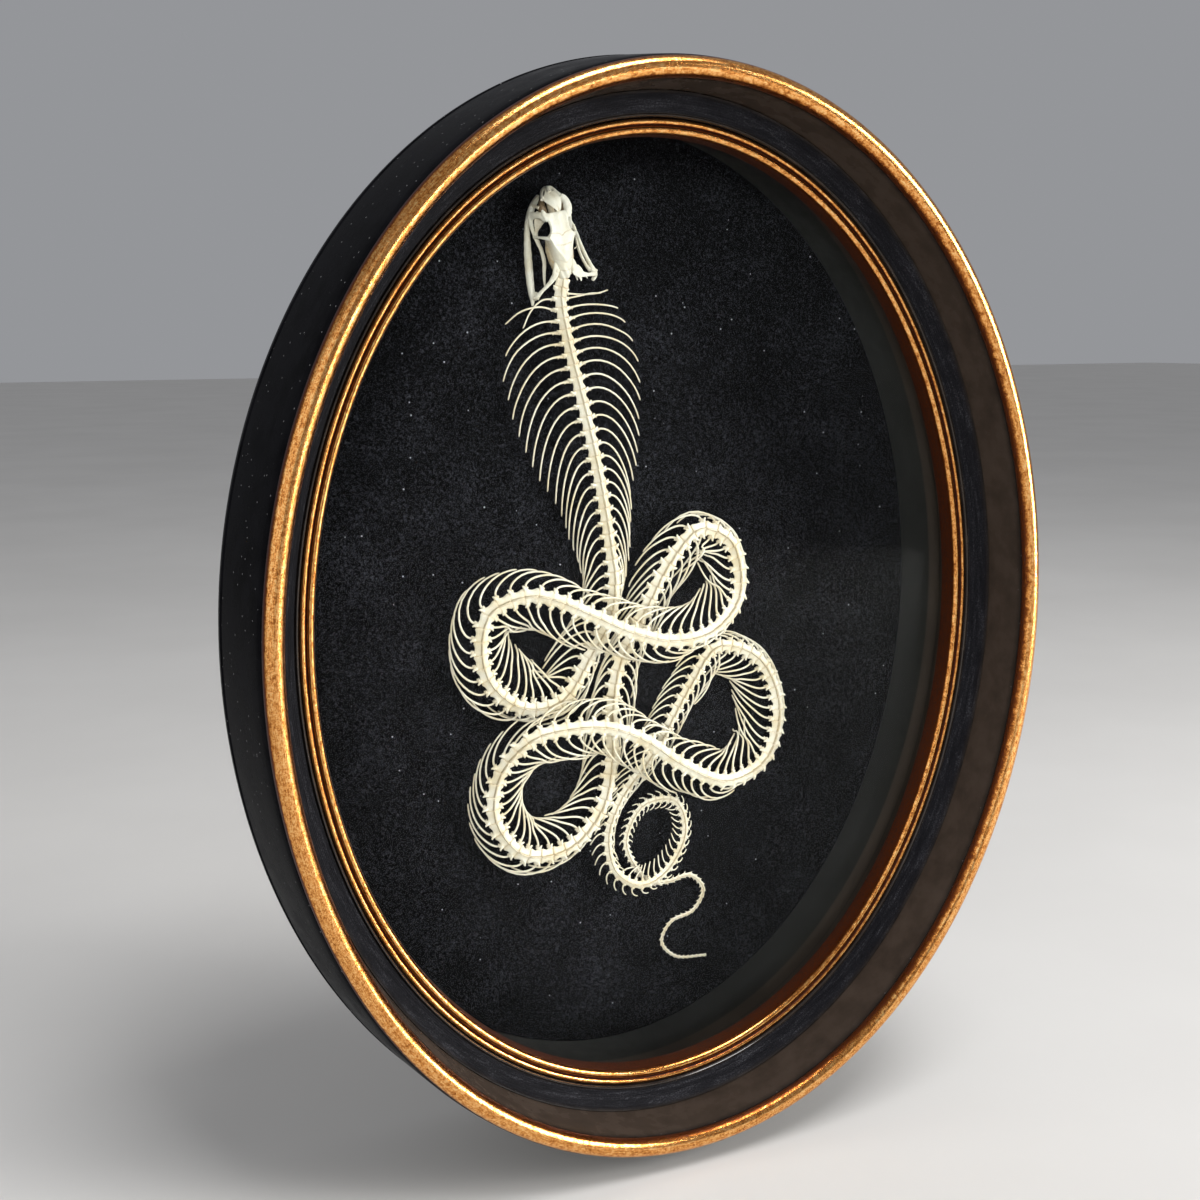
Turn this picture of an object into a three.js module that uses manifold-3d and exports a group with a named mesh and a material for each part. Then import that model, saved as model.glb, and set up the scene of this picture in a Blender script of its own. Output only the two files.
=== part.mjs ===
// Cobra skeleton mounted in a deep oval shadow-box frame, in millimetres.
// X runs across the frame, +Z is up and the front faces -Y. The origin is the centre of the flat back.
import * as THREE from 'three';
import Module from 'manifold-3d';
import { mergeVertices } from 'three/addons/utils/BufferGeometryUtils.js';

const wasm = await Module();
wasm.setup();

// ---------------------------------------------------------------- driving dimensions
// Frame. Every oval is written as an inset from the outer gilt bead's centre-line, and a depth behind it.
const HALF_WIDTH = 193;
const HALF_HEIGHT = 250;
const FRAME_DEPTH = 100;
const OVAL_SIDES = 28;
const BEAD_RADIUS = 4.7;
const STEP_DEPTH = 24; // from the bead down to the crease of the dark cove
const STEP_INSET = 6;
const LINER_OUTER = 17.4;
const LINER_INNER = 24.5;
const LINER_FRONT = 28.8;
const RIM_OUTSET = 12.8; // how far the black side flares out at its back edge
const RIM_DEPTH = 52.7;
const GLASS_DEPTH = 40.2;
const GLASS_THICKNESS = 3;
const GLASS_INSET = 14;
const BOX_INNER = 12;
const BOX_OUTER = 5;
const VELVET_DEPTH = 92;
const VELVET_THICKNESS = 2.7;
const BACK_THICKNESS = 4.7;
const GAP = 0.3; // between neighbouring solids

// Vertebrae and ribs. Each table gives [distance along the spine from the skull, value].
const PITCH = [[0, 4.4], [16, 5.2], [35, 5.9], [55, 6.7], [900, 6.9], [1090, 5.6], [1200, 4.6], [1330, 3.6],
  [1430, 2.6]];
const HALF_SPINE = [[0, 2.3], [60, 2.7], [950, 2.7], [1100, 2.2], [1250, 1.5], [1420, 0.6]];
const RIDGE = 1.05; // height of the neural spines, as a share of HALF_SPINE
const KEEL = 0.55; // depth of the vertebral bodies, likewise
const RIB_REACH = [[8, 16], [14, 17], [18, 22], [23, 26.5], [28, 30], [34, 32.5], [46, 29.5], [60, 24.5], [80, 17],
  [110, 12.5], [150, 12], [960, 12], [1060, 8], [1150, 7], [1185, 6], [1225, 3.6], [1290, 2]];
const RIB_SWEEP = [[8, 1], [14, 2], [18, 3.5], [23, 7], [28, 13], [34, 20], [46, 26.5], [60, 30], [85, 29], [130, 21],
  [170, 18], [960, 18], [1060, 9], [1150, 6], [1200, 3], [1290, 1]];
const RIB_DROP = [[0, 2], [18, 4], [35, 8], [120, 10], [960, 10.3], [1080, 6], [1200, 2.6], [1300, 1]];
const RIB_RADIUS = [[0, 0.6], [20, 0.75], [960, 0.75], [1100, 0.6], [1430, 0.4]];
// Ribs inside a bend reach and sweep further, those outside it less, by the curvature towards their side.
// Where the body lies on its side, those outside reach further or less [distance, share].
const REACH_BY_BEND = [[-0.032, 0.78], [0, 1], [0.032, 1.25]];
const OUTSIDE_REACH = [[200, 1], [245, 1.2], [290, 1.2], [320, 1], [640, 1], [670, 1.3], [715, 1.3], [745, 0.7],
  [775, 0.6], [800, 1]];
const SWEEP_BY_BEND = [[-0.032, 0.62], [0, 1], [0.032, 1.3]];
const FIRST_RIB = 2; // vertebrae before the first rib
const RIB_END = 1290; // further back the vertebrae have only short side points
const RIB_ROOT = 1.3; // how far out a rib starts to curve, as a share of HALF_SPINE
const DROP_POWER = 1.7; // a rib drops slowly at first
const RIB_TAPER = 0.35;
const RIB_SECTION = [[-0.5, 0.87], [-0.5, -0.87], [1, 0]]; // [rise, across] of its corners
const RIB_TURN = THREE.MathUtils.degToRad(78); // how far a rib turns towards the tail
const TRUNK_STEPS = [0.3, 0.68]; // shares of a rib where its section is set
const TAIL_STEPS = [0.5];
const TAIL_START = 1085;
const LOWEST_RIB = 1.2; // rib tips stay this far above the velvet
const CLEARANCE = 1; // between the ribs of neighbouring loops
const OWN_STRETCH = 46; // parts of the spine nearer than this along it count as the same loop

// The spine's course: [x, z, height above the velvet]. Each stretch is one solid, which ends where the next begins.
const ROUTE = {
  neck_and_hood: [[-28.5, 164.5, 9.4], [-30.5, 154.5, 10.5], [-27.5, 134, 12], [-21.5, 109.5, 12.5],
    [-16, 87.5, 12.5], [-12, 70, 12], [-8, 51, 11], [-4, 29, 9.5]],
  body_upper_left_loop: [[-2, 14, 9], [-5, -6, 9], [-15, -22.5, 9], [-31.5, -45, 9],
    [-51.5, -47, 9], [-70.5, -32, 12], [-76, -14, 14], [-71.5, 4.5, 16]],
  body_upper_strand: [[-54, 12, 21], [-41.5, 10, 24.5], [-21, 0.5, 26], [1, -10, 26], [24, -16, 26]],
  body_upper_right_loop: [[46, -13, 24.5], [67, 3.5, 15], [62.5, 30.5, 14], [44, 38.5, 14], [27.5, 21.5, 12]],
  body_middle_strand: [[17, 1, 9], [7, -16.5, 9], [0, -31, 9], [-3.5, -50.5, 9]],
  body_lower_left_loop: [[-4, -64.5, 9], [-4, -79, 9], [-10, -104, 10], [-29.5, -121.5, 13],
    [-55, -121.5, 14], [-70.5, -101, 14], [-68.5, -77, 17]],
  body_lower_strand: [[-54, -59, 24.5], [-34.5, -55.5, 26], [-12.5, -57.5, 26], [7.5, -66.5, 26], [29, -82, 25]],
  body_lower_right_loop: [[59.5, -96, 19], [85.5, -87.5, 14], [93, -60, 13],
    [82, -33.5, 9.5], [57.5, -25.5, 9], [42, -44, 9]],
  tail_base: [[31, -61.5, 9], [23, -75, 9], [14, -86, 9], [0.5, -102.5, 9], [-6, -122, 8.5]],
  tail_ring: [[-2, -140.5, 10], [11.5, -149, 12], [28.5, -143, 10], [39.5, -124, 8],
    [34, -107.5, 7], [16, -107.5, 6], [6, -125.5, 5]],
  tail_tip: [[12.5, -142.5, 3.6], [21, -152, 3], [32, -153.5, 3], [45.5, -152, 3], [53.5, -161.5, 2.8],
    [47.5, -172.5, 2.6], [34, -177, 2.4], [28.5, -187.5, 2.2], [37, -197.5, 2], [56, -200.5, 1.8]],
};

// Skull: its origin is the joint with the neck, and it points up and to the left.
const SKULL_AT = [-28.2, 164.9];
const SKULL_TURN = THREE.MathUtils.degToRad(11.9);

// ---------------------------------------------------------------- materials
const gilt = new THREE.MeshStandardMaterial({ color: 0xc98a45, roughness: 0.35, metalness: 0.85 });
const lacquer = new THREE.MeshStandardMaterial({ color: 0x0b0b0d, roughness: 0.3, metalness: 0 });
const glassClear = new THREE.MeshStandardMaterial({
  color: 0xdfe8e6, roughness: 0.03, metalness: 0, transparent: true, opacity: 0.15,
});
const boxPaint = new THREE.MeshStandardMaterial({ color: 0x242426, roughness: 0.6, metalness: 0 });
const velvet = new THREE.MeshStandardMaterial({ color: 0x0c0c0e, roughness: 1, metalness: 0 });
const board = new THREE.MeshStandardMaterial({ color: 0x3a3330, roughness: 0.85, metalness: 0 });
const bone = new THREE.MeshStandardMaterial({ color: 0xe9e2cc, roughness: 0.55, metalness: 0 });

const part = new THREE.Group();
part.name = 'mounted_cobra_skeleton';

// ---------------------------------------------------------------- helpers
// Straight-line reading of a [position, value] table.
function read(table, at) {
  if (at <= table[0][0]) return table[0][1];
  for (let i = 1; i < table.length; i++) {
    const [s0, v0] = table[i - 1];
    const [s1, v1] = table[i];
    if (at <= s1) return v0 + ((v1 - v0) * (at - s0)) / (s1 - s0);
  }
  return table[table.length - 1][1];
}

// Turns a closed skin's faces so that they point out.
function facingOut(geometry) {
  const p = geometry.attributes.position;
  const index = geometry.index.array;
  const [a, b, c] = [new THREE.Vector3(), new THREE.Vector3(), new THREE.Vector3()];
  let volume = 0;
  for (let i = 0; i < index.length; i += 3) {
    a.fromBufferAttribute(p, index[i]);
    b.fromBufferAttribute(p, index[i + 1]);
    c.fromBufferAttribute(p, index[i + 2]);
    volume += a.dot(b.cross(c));
  }
  if (volume < 0) {
    for (let i = 0; i < index.length; i += 3) [index[i + 1], index[i + 2]] = [index[i + 2], index[i + 1]];
  }
  return geometry;
}

// A closed skin from points and triangles.
function geometryOf(points, faces) {
  const geometry = new THREE.BufferGeometry();
  geometry.setAttribute('position', new THREE.Float32BufferAttribute(points.flatMap((p) => [p.x, p.y, p.z]), 3));
  geometry.setIndex(faces.flat());
  return facingOut(geometry);
}

function addMesh(name, geometry, material) {
  const shown = geometry.toNonIndexed();
  shown.computeVertexNormals();
  const mesh = new THREE.Mesh(shown, material);
  mesh.name = name;
  part.add(mesh);
}

// Joins rings of points into a closed skin.
function loft(rings) {
  const sides = rings[0].length;
  const faces = [];
  for (let k = 0; k + 1 < rings.length; k++) {
    for (let i = 0; i < sides; i++) {
      const a = k * sides + i;
      const b = k * sides + ((i + 1) % sides);
      faces.push([a, b, b + sides], [a, b + sides, a + sides]);
    }
  }
  const last = (rings.length - 1) * sides;
  for (let i = 1; i + 1 < sides; i++) {
    faces.push([0, i + 1, i], [last, last + i, last + i + 1]);
  }
  return geometryOf(rings.flat(), faces);
}

function solidOf(geometry) {
  const merged = mergeVertices(geometry, 1e-4);
  return new wasm.Manifold(new wasm.Mesh({
    numProp: 3,
    vertProperties: new Float32Array(merged.attributes.position.array),
    triVerts: new Uint32Array(merged.index.array),
  }));
}

// One geometry from several that overlap.
function joined(geometries) {
  const mesh = geometries.map(solidOf).reduce((all, next) => all.add(next)).getMesh();
  const geometry = new THREE.BufferGeometry();
  geometry.setAttribute('position', new THREE.Float32BufferAttribute(mesh.vertProperties, 3));
  geometry.setIndex(new THREE.BufferAttribute(mesh.triVerts, 1));
  return geometry;
}

// ---------------------------------------------------------------- frame
function ovalPoint(inset, depth, angle) {
  return new THREE.Vector3(
    (HALF_WIDTH - inset) * Math.cos(angle),
    depth - FRAME_DEPTH,
    (HALF_HEIGHT - inset) * Math.sin(angle),
  );
}

// A ring whose section is the closed outline of [inset, depth] points.
function ovalRing(outline) {
  const count = outline.length;
  const points = [];
  const faces = [];
  for (let k = 0; k < OVAL_SIDES; k++) {
    const angle = (2 * Math.PI * k) / OVAL_SIDES;
    const next = (k + 1) % OVAL_SIDES;
    outline.forEach(([inset, depth], i) => {
      points.push(ovalPoint(inset, depth, angle));
      const a = k * count + i;
      const b = k * count + ((i + 1) % count);
      const c = next * count + ((i + 1) % count);
      const d = next * count + i;
      faces.push([a, b, c], [a, c, d]);
    });
  }
  return geometryOf(points, faces);
}

function ovalPlate(inset, front, back) {
  const ring = (depth) => Array.from({ length: OVAL_SIDES },
    (_, k) => ovalPoint(inset, depth, (2 * Math.PI * k) / OVAL_SIDES));
  return loft([ring(back), ring(front)]);
}

function halfRound(centre, radius, depth, steps) {
  return Array.from({ length: steps + 1 }, (_, i) => {
    const angle = (Math.PI * i) / steps;
    return [centre - radius * Math.cos(angle), depth - radius * Math.sin(angle)];
  });
}

function addFrame() {
  addMesh('outer_gilt_bead', ovalRing(halfRound(0, BEAD_RADIUS, 0, 4)), gilt);

  const seat = GAP;
  const coveFloor = LINER_FRONT + 1;
  const rebateBack = GLASS_DEPTH + GLASS_THICKNESS + GAP;
  addMesh('black_moulding', ovalRing([
    [-BEAD_RADIUS, seat],
    [BEAD_RADIUS, seat],
    [STEP_INSET, STEP_DEPTH],
    [BOX_OUTER - GAP, rebateBack],
    [BOX_OUTER - GAP, RIM_DEPTH],
    [-RIM_OUTSET, RIM_DEPTH],
  ]), lacquer);
  addMesh('black_cove', ovalRing([
    [STEP_INSET + GAP, STEP_DEPTH],
    [LINER_OUTER - GAP, coveFloor],
    [LINER_OUTER - GAP, GLASS_DEPTH - GAP],
    [GLASS_INSET - GAP, GLASS_DEPTH - GAP],
    [GLASS_INSET - GAP, rebateBack],
    [BOX_OUTER, rebateBack],
  ]), lacquer);

  // Two reeds with a groove between them, and a flat side down to the glass.
  const groove = (LINER_OUTER + LINER_INNER) / 2 - 0.5;
  addMesh('inner_gilt_liner', ovalRing([
    [LINER_OUTER, LINER_FRONT + 1.6],
    [LINER_OUTER + 1.4, LINER_FRONT],
    [groove, LINER_FRONT + 2],
    [groove + 2, LINER_FRONT],
    [LINER_INNER, LINER_FRONT + 3],
    [LINER_INNER, GLASS_DEPTH - GAP],
    [LINER_OUTER, GLASS_DEPTH - GAP],
  ]), gilt);

  addMesh('glass', ovalPlate(GLASS_INSET, GLASS_DEPTH, GLASS_DEPTH + GLASS_THICKNESS), glassClear);

  const boxFront = GLASS_DEPTH + GLASS_THICKNESS + 2 * GAP;
  const boxBack = FRAME_DEPTH - BACK_THICKNESS - GAP;
  addMesh('box_wall', ovalRing([
    [BOX_OUTER, boxFront],
    [BOX_INNER, boxFront],
    [BOX_INNER, boxBack],
    [BOX_OUTER, boxBack],
  ]), boxPaint);
  addMesh('velvet_backing', ovalPlate(BOX_INNER + GAP, VELVET_DEPTH, VELVET_DEPTH + VELVET_THICKNESS), velvet);
  addMesh('back_board', ovalPlate(BOX_OUTER, FRAME_DEPTH - BACK_THICKNESS, FRAME_DEPTH), board);
}

// ---------------------------------------------------------------- spine and ribs
const VELVET_Y = VELVET_DEPTH - FRAME_DEPTH;
const TOWARDS_VIEWER = new THREE.Vector3(0, -1, 0);
const stretches = Object.entries(ROUTE);
const waypoints = stretches.flatMap(([, points]) => points);
const spine = new THREE.CatmullRomCurve3(
  waypoints.map(([x, z, height]) => new THREE.Vector3(x, VELVET_Y - height, z)), false, 'centripetal');
const STEPS_PER_WAYPOINT = 24;
spine.arcLengthDivisions = (waypoints.length - 1) * STEPS_PER_WAYPOINT;
const arcLengths = spine.getLengths();
const SPINE_LENGTH = spine.getLength();

// The spine's own frame at a distance along it: tail points to the tail, left to the snake's left.
function frameAt(distance) {
  const u = Math.min(Math.max(distance / SPINE_LENGTH, 0), 1);
  const at = spine.getPointAt(u);
  const tail = spine.getTangentAt(u);
  const up = TOWARDS_VIEWER.clone().addScaledVector(tail, -TOWARDS_VIEWER.dot(tail)).normalize();
  const left = new THREE.Vector3().crossVectors(tail, up);
  return { at, tail, up, left, height: VELVET_Y - at.y, distance };
}

const BEND_SPAN = 9; // the curvature is taken over this far each way

// A vertebra's frame, with its curvature, which is positive where the spine bends to the snake's left.
function jointAt(distance) {
  const joint = frameAt(distance);
  const turn = frameAt(distance + BEND_SPAN).tail.sub(frameAt(distance - BEND_SPAN).tail);
  joint.bend = turn.dot(joint.left) / (2 * BEND_SPAN);
  return joint;
}

// Where each vertebra begins, from the skull to the tail's tip.
function vertebraStarts() {
  const starts = [];
  for (let s = 0.6; s < SPINE_LENGTH - 1; s += read(PITCH, s)) starts.push(s);
  return starts;
}
const starts = vertebraStarts();
const joints = starts.map(jointAt);

function ribDrop(joint) {
  return Math.max(Math.min(read(RIB_DROP, joint.distance), joint.height - LOWEST_RIB), 0);
}

// A point on a rib: share runs from 0 at the vertebra to 1 at the tip, side is 1 for left and -1 for right.
// Ribs follow the bends of the body, so they are laid out along the spine.
function ribPoint(joint, side, share, reachFactor) {
  const s = joint.distance;
  const inside = side * joint.bend;
  const turn = RIB_TURN * share;
  const outside = inside < 0 ? read(OUTSIDE_REACH, s) : 1;
  const reach = read(RIB_REACH, s) * read(REACH_BY_BEND, inside) * outside * reachFactor;
  const sweep = read(RIB_SWEEP, s) * read(SWEEP_BY_BEND, inside);
  const out = read(HALF_SPINE, s) * RIB_ROOT + (reach * Math.sin(turn)) / Math.sin(RIB_TURN);
  const back = read(PITCH, s) / 2 + (sweep * (1 - Math.cos(turn))) / (1 - Math.cos(RIB_TURN));
  const level = frameAt(s + back);
  return level.at.clone()
    .addScaledVector(level.left, side * out)
    .setY(Math.min(level.at.y + ribDrop(joint) * share ** DROP_POWER, VELVET_Y - LOWEST_RIB));
}

const LEVEL_SPACE = 0.5; // kept above and below a stretch that another crosses
const lowOf = (joint) => joint.height - ribDrop(joint) - LEVEL_SPACE;
const highOf = (joint) => joint.height + read(HALF_SPINE, joint.distance) * RIDGE + LEVEL_SPACE;
const planDistance = (p, q) => Math.hypot(p.x - q.x, p.z - q.z);

// True where a rib point is nearer to its own stretch of spine than to any other at its own level.
function keepsClear(joint, point) {
  let own = Infinity;
  let other = Infinity;
  for (const j of joints) {
    const distance = planDistance(point, j.at);
    if (Math.abs(j.distance - joint.distance) < OWN_STRETCH) own = Math.min(own, distance);
    else if (lowOf(j) < highOf(joint) && lowOf(joint) < highOf(j)) other = Math.min(other, distance);
  }
  return other - own > 2 * CLEARANCE;
}

// How much of its full reach a rib can have beside its neighbours.
function reachFactor(joint, side) {
  const shares = [0.5, 0.75, 1];
  for (let factor = 1; factor > 0.15; factor -= 0.1) {
    if (shares.every((share) => keepsClear(joint, ribPoint(joint, side, share, factor)))) return factor;
  }
  return 0.1;
}

// Grows a three-sided rib out of the face [headEnd, tailEnd, ridge] of a vertebra.
function growRib(points, faces, corners, joint, side) {
  const factor = reachFactor(joint, side);
  const radius = read(RIB_RADIUS, joint.distance);
  let ring = corners;
  const ribbed = joint.distance < TAIL_START ? TRUNK_STEPS : TAIL_STEPS;
  const shares = joint.distance < RIB_END ? ribbed : [];
  const centres = [...shares, 1].map((share) => ribPoint(joint, side, share, factor));
  shares.forEach((share, step) => {
    const along = centres[step + 1].clone().sub(step ? centres[step - 1] : joint.at).normalize();
    const up = joint.up.clone().addScaledVector(along, -joint.up.dot(along)).normalize();
    const across = new THREE.Vector3().crossVectors(along, up).multiplyScalar(side);
    const size = radius * (1 - RIB_TAPER * share);
    const next = RIB_SECTION.map(([rise, over]) => {
      points.push(centres[step].clone().addScaledVector(up, rise * size).addScaledVector(across, over * size));
      return points.length - 1;
    });
    joinRings(faces, ring, next, side);
    ring = next;
  });
  points.push(centres[centres.length - 1]);
  const tip = points.length - 1;
  for (let i = 0; i < 3; i++) {
    const [a, b] = [ring[i], ring[(i + 1) % 3]];
    faces.push(side > 0 ? [a, b, tip] : [b, a, tip]);
  }
}

function joinRings(faces, from, to, side) {
  for (let i = 0; i < from.length; i++) {
    const j = (i + 1) % from.length;
    const quad = [[from[i], from[j], to[j]], [from[i], to[j], to[i]]];
    faces.push(...(side > 0 ? quad : quad.map(([a, b, c]) => [a, c, b])));
  }
}

// The vertebrae between two distances along the spine, with their ribs, as one closed skin.
function spineLength(first, last, from, to) {
  const points = [];
  const faces = [];
  const stations = [jointAt(from), ...joints.slice(first + 1, last), frameAt(to)];
  stations.forEach((joint) => {
    const half = read(HALF_SPINE, joint.distance);
    const low = joint.at.clone().addScaledVector(joint.up, -KEEL * half);
    points.push(
      joint.at.clone().addScaledVector(joint.up, RIDGE * half),
      low.clone().addScaledVector(joint.left, half),
      low.clone().addScaledVector(joint.left, -half),
    );
  });
  for (let k = 0; k + 1 < stations.length; k++) {
    const [ridge, left, right] = [3 * k, 3 * k + 1, 3 * k + 2];
    const [nextRidge, nextLeft, nextRight] = [ridge + 3, left + 3, right + 3];
    faces.push([left, right, nextRight], [left, nextRight, nextLeft]);
    faces.push([nextLeft, nextRidge, ridge], [ridge, nextRidge, nextRight]);
    const joint = stations[k];
    if (first + k < FIRST_RIB) {
      faces.push([left, nextLeft, ridge], [right, ridge, nextRight]);
    } else {
      growRib(points, faces, [left, nextLeft, ridge], joint, 1);
      growRib(points, faces, [right, nextRight, ridge], joint, -1);
    }
  }
  const end = 3 * (stations.length - 1);
  faces.push([0, 2, 1], [end, end + 1, end + 2]);
  return geometryOf(points, faces);
}

function addBody() {
  let waypoint = 0;
  let first = 0;
  stretches.forEach(([name, route], index) => {
    waypoint += route.length;
    const isLast = index === stretches.length - 1;
    const stop = isLast ? SPINE_LENGTH : arcLengths[waypoint * STEPS_PER_WAYPOINT];
    const last = isLast ? starts.length : starts.findIndex((s) => s >= stop);
    const to = isLast ? SPINE_LENGTH : starts[last] - GAP;
    addMesh(name, spineLength(first, last, starts[first], to), bone);
    first = last;
  });
}

// ---------------------------------------------------------------- skull
// forward runs to the snout, right to the snake's right and height up from the velvet.
function skullPoint(forward, right, height) {
  const [x, z] = SKULL_AT;
  return new THREE.Vector3(
    x - forward * Math.sin(SKULL_TURN) + right * Math.cos(SKULL_TURN),
    VELVET_Y - height,
    z + forward * Math.cos(SKULL_TURN) + right * Math.sin(SKULL_TURN),
  );
}

// A bar through [forward, right, height, half width, half height] rows.
function bar(rows, sides = 5) {
  const middles = rows.map(([forward, right, height]) => skullPoint(forward, right, height));
  const rings = rows.map(([, , , halfWide, halfHigh], k) => {
    const along = middles[Math.min(k + 1, rows.length - 1)].clone().sub(middles[Math.max(k - 1, 0)]).normalize();
    const up = TOWARDS_VIEWER.clone().addScaledVector(along, -TOWARDS_VIEWER.dot(along)).normalize();
    const across = new THREE.Vector3().crossVectors(up, along);
    return Array.from({ length: sides }, (_, i) => {
      const angle = (2 * Math.PI * i) / sides;
      return middles[k].clone()
        .addScaledVector(across, halfWide * Math.cos(angle))
        .addScaledVector(up, halfHigh * Math.sin(angle));
    });
  });
  return loft(rings);
}

const mirrored = (rows, side) => rows.map(([forward, right, ...rest]) => [forward, right * side, ...rest]);

// The braincase and face: [forward, half width, lowest, highest].
const CRANIUM = [
  [0.9, 1.6, 8.2, 11.0],
  [2.2, 3.2, 7.7, 13.4],
  [4.5, 4.9, 7.2, 15.0],
  [8.5, 6.0, 7.0, 16.3],
  [13, 6.3, 7.0, 16.9],
  [17.2, 6.8, 7.4, 17.2],
  [19.4, 7.3, 8.4, 17.2],
  [21.4, 5.7, 9.2, 17.2],
  [25, 5.3, 9.4, 17.0],
  [28.2, 6.4, 9.4, 16.4],
  [30.6, 9.0, 9.0, 15.6],
  [34, 7.4, 8.6, 14.6],
  [37, 4.7, 8.2, 13.2],
  [40, 2.7, 7.4, 11.2],
  [41.6, 1.2, 7.2, 9.3],
];
const CRANIUM_SIDES = 8;
const SQUARENESS = 0.8; // under 1 makes the roof flatter and the corners fuller

function cranium() {
  const rings = CRANIUM.map(([forward, halfWide, low, high]) => Array.from({ length: CRANIUM_SIDES }, (_, i) => {
    const angle = (2 * Math.PI * (i + 0.5)) / CRANIUM_SIDES;
    const shaped = (v) => Math.sign(v) * Math.abs(v) ** SQUARENESS;
    return skullPoint(forward, halfWide * shaped(Math.cos(angle)),
      (low + high) / 2 + ((high - low) / 2) * shaped(Math.sin(angle)));
  }));
  return loft(rings);
}

function addSkull() {
  const struts = [1, -1].flatMap((side) => [
    // postorbital bar behind the eye
    bar(mirrored([[19.0, 6.0, 13.5, 0.8, 1.1], [19.6, 8.6, 11, 0.7, 0.9], [20.4, 10.0, 7.4, 0.6, 0.7]], side)),
    // prefrontal leg in front of the eye
    bar(mirrored([[30.6, 7.6, 11, 1.4, 1.4], [30.8, 9.8, 9, 1.0, 1.1], [30.8, 10.6, 7.6, 0.9, 0.8]], side)),
    // supratemporal
    bar(mirrored([[9, 4.6, 12.5, 0.7, 1.0], [4.5, 5.2, 12.6, 1.0, 1.1], [0.6, 6.6, 11.8, 0.9, 0.9]], side)),
  ]);
  addMesh('cranium', joined([cranium(), ...struts]), bone);

  for (const [sideName, side] of [['right', 1], ['left', -1]]) {
    const maxilla = bar(mirrored([
      [38.4, 4.2, 6.6, 0.7, 0.9],
      [36, 7.0, 6.2, 1.0, 1.4],
      [32.5, 10.0, 5.9, 1.0, 1.4],
      [28.3, 10.8, 5.8, 0.8, 1.2],
      [23.1, 10.4, 5.9, 0.7, 1.0],
      [19.6, 9.3, 6.0, 0.5, 0.8],
    ], side));
    const fang = bar(mirrored([[36.6, 6.9, 5.8, 0.8, 0.8], [37, 7.4, 4.2, 0.6, 0.6], [36.6, 7.5, 1.8, 0.3, 0.3]],
      side), 5);
    addMesh(`maxilla_${sideName}`, joined([maxilla, fang]), bone);

    const pterygoid = bar(mirrored([
      [34, 3.2, 6.6, 0.5, 0.6],
      [27, 4.2, 6.2, 0.8, 0.6],
      [18, 5.8, 5.8, 0.9, 0.6],
      [11, 6.5, 5.5, 1.1, 0.6],
      [4, 7.7, 5.0, 1.0, 0.6],
      [-3.4, 8.8, 4.4, 0.5, 0.6],
    ], side));
    const ectopterygoid = bar(mirrored([[18.9, 9.0, 5.7, 0.5, 0.6], [15.5, 7.8, 5.7, 0.6, 0.6], [12, 6.8, 5.6, 0.6, 0.5]],
      side));
    addMesh(`pterygoid_${sideName}`, joined([pterygoid, ectopterygoid]), bone);
  }

  // The jaws sit askew: the left joint lies further back than the right.
  addMesh('quadrate_left', bar([
    [-0.6, -7.2, 10.4, 0.9, 1.0],
    [-3.6, -10.6, 7.8, 0.7, 1.0],
    [-7.2, -14.2, 5.6, 0.9, 0.9],
  ]), bone);
  addMesh('quadrate_right', bar([
    [-0.8, 7.4, 10.6, 0.9, 1.0],
    [-1.6, 12.6, 7.8, 0.7, 1.0],
    [-2.2, 17.6, 5.6, 0.9, 0.9],
  ]), bone);
  addMesh('mandible_left', bar([
    [39, -2.6, 2.3, 0.6, 0.8],
    [35, -6.4, 2.2, 0.9, 1.2],
    [30, -9.2, 2.2, 1.0, 1.3],
    [20, -11.8, 2.4, 1.3, 1.7],
    [9, -14.0, 2.6, 1.8, 1.9],
    [-2, -15.2, 2.6, 1.7, 1.7],
    [-7.6, -15.6, 2.6, 1.2, 1.4],
    [-10.8, -16.2, 2.4, 0.6, 0.8],
  ]), bone);
  addMesh('mandible_right', bar([
    [39, 2.2, 2.3, 0.6, 0.8],
    [34, 7.4, 2.2, 0.9, 1.2],
    [28, 10.6, 2.2, 1.0, 1.3],
    [20.8, 12.9, 2.4, 1.3, 1.7],
    [10, 15.8, 2.6, 1.8, 1.9],
    [1, 18.0, 2.6, 1.7, 1.7],
    [-2.6, 18.9, 2.6, 1.2, 1.4],
    [-5.2, 17.6, 2.4, 0.6, 0.8],
  ]), bone);
}

addFrame();
addSkull();
addBody();

export default part;
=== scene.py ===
import bpy
import math
import numpy as np
from mathutils import Matrix, Vector


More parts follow.
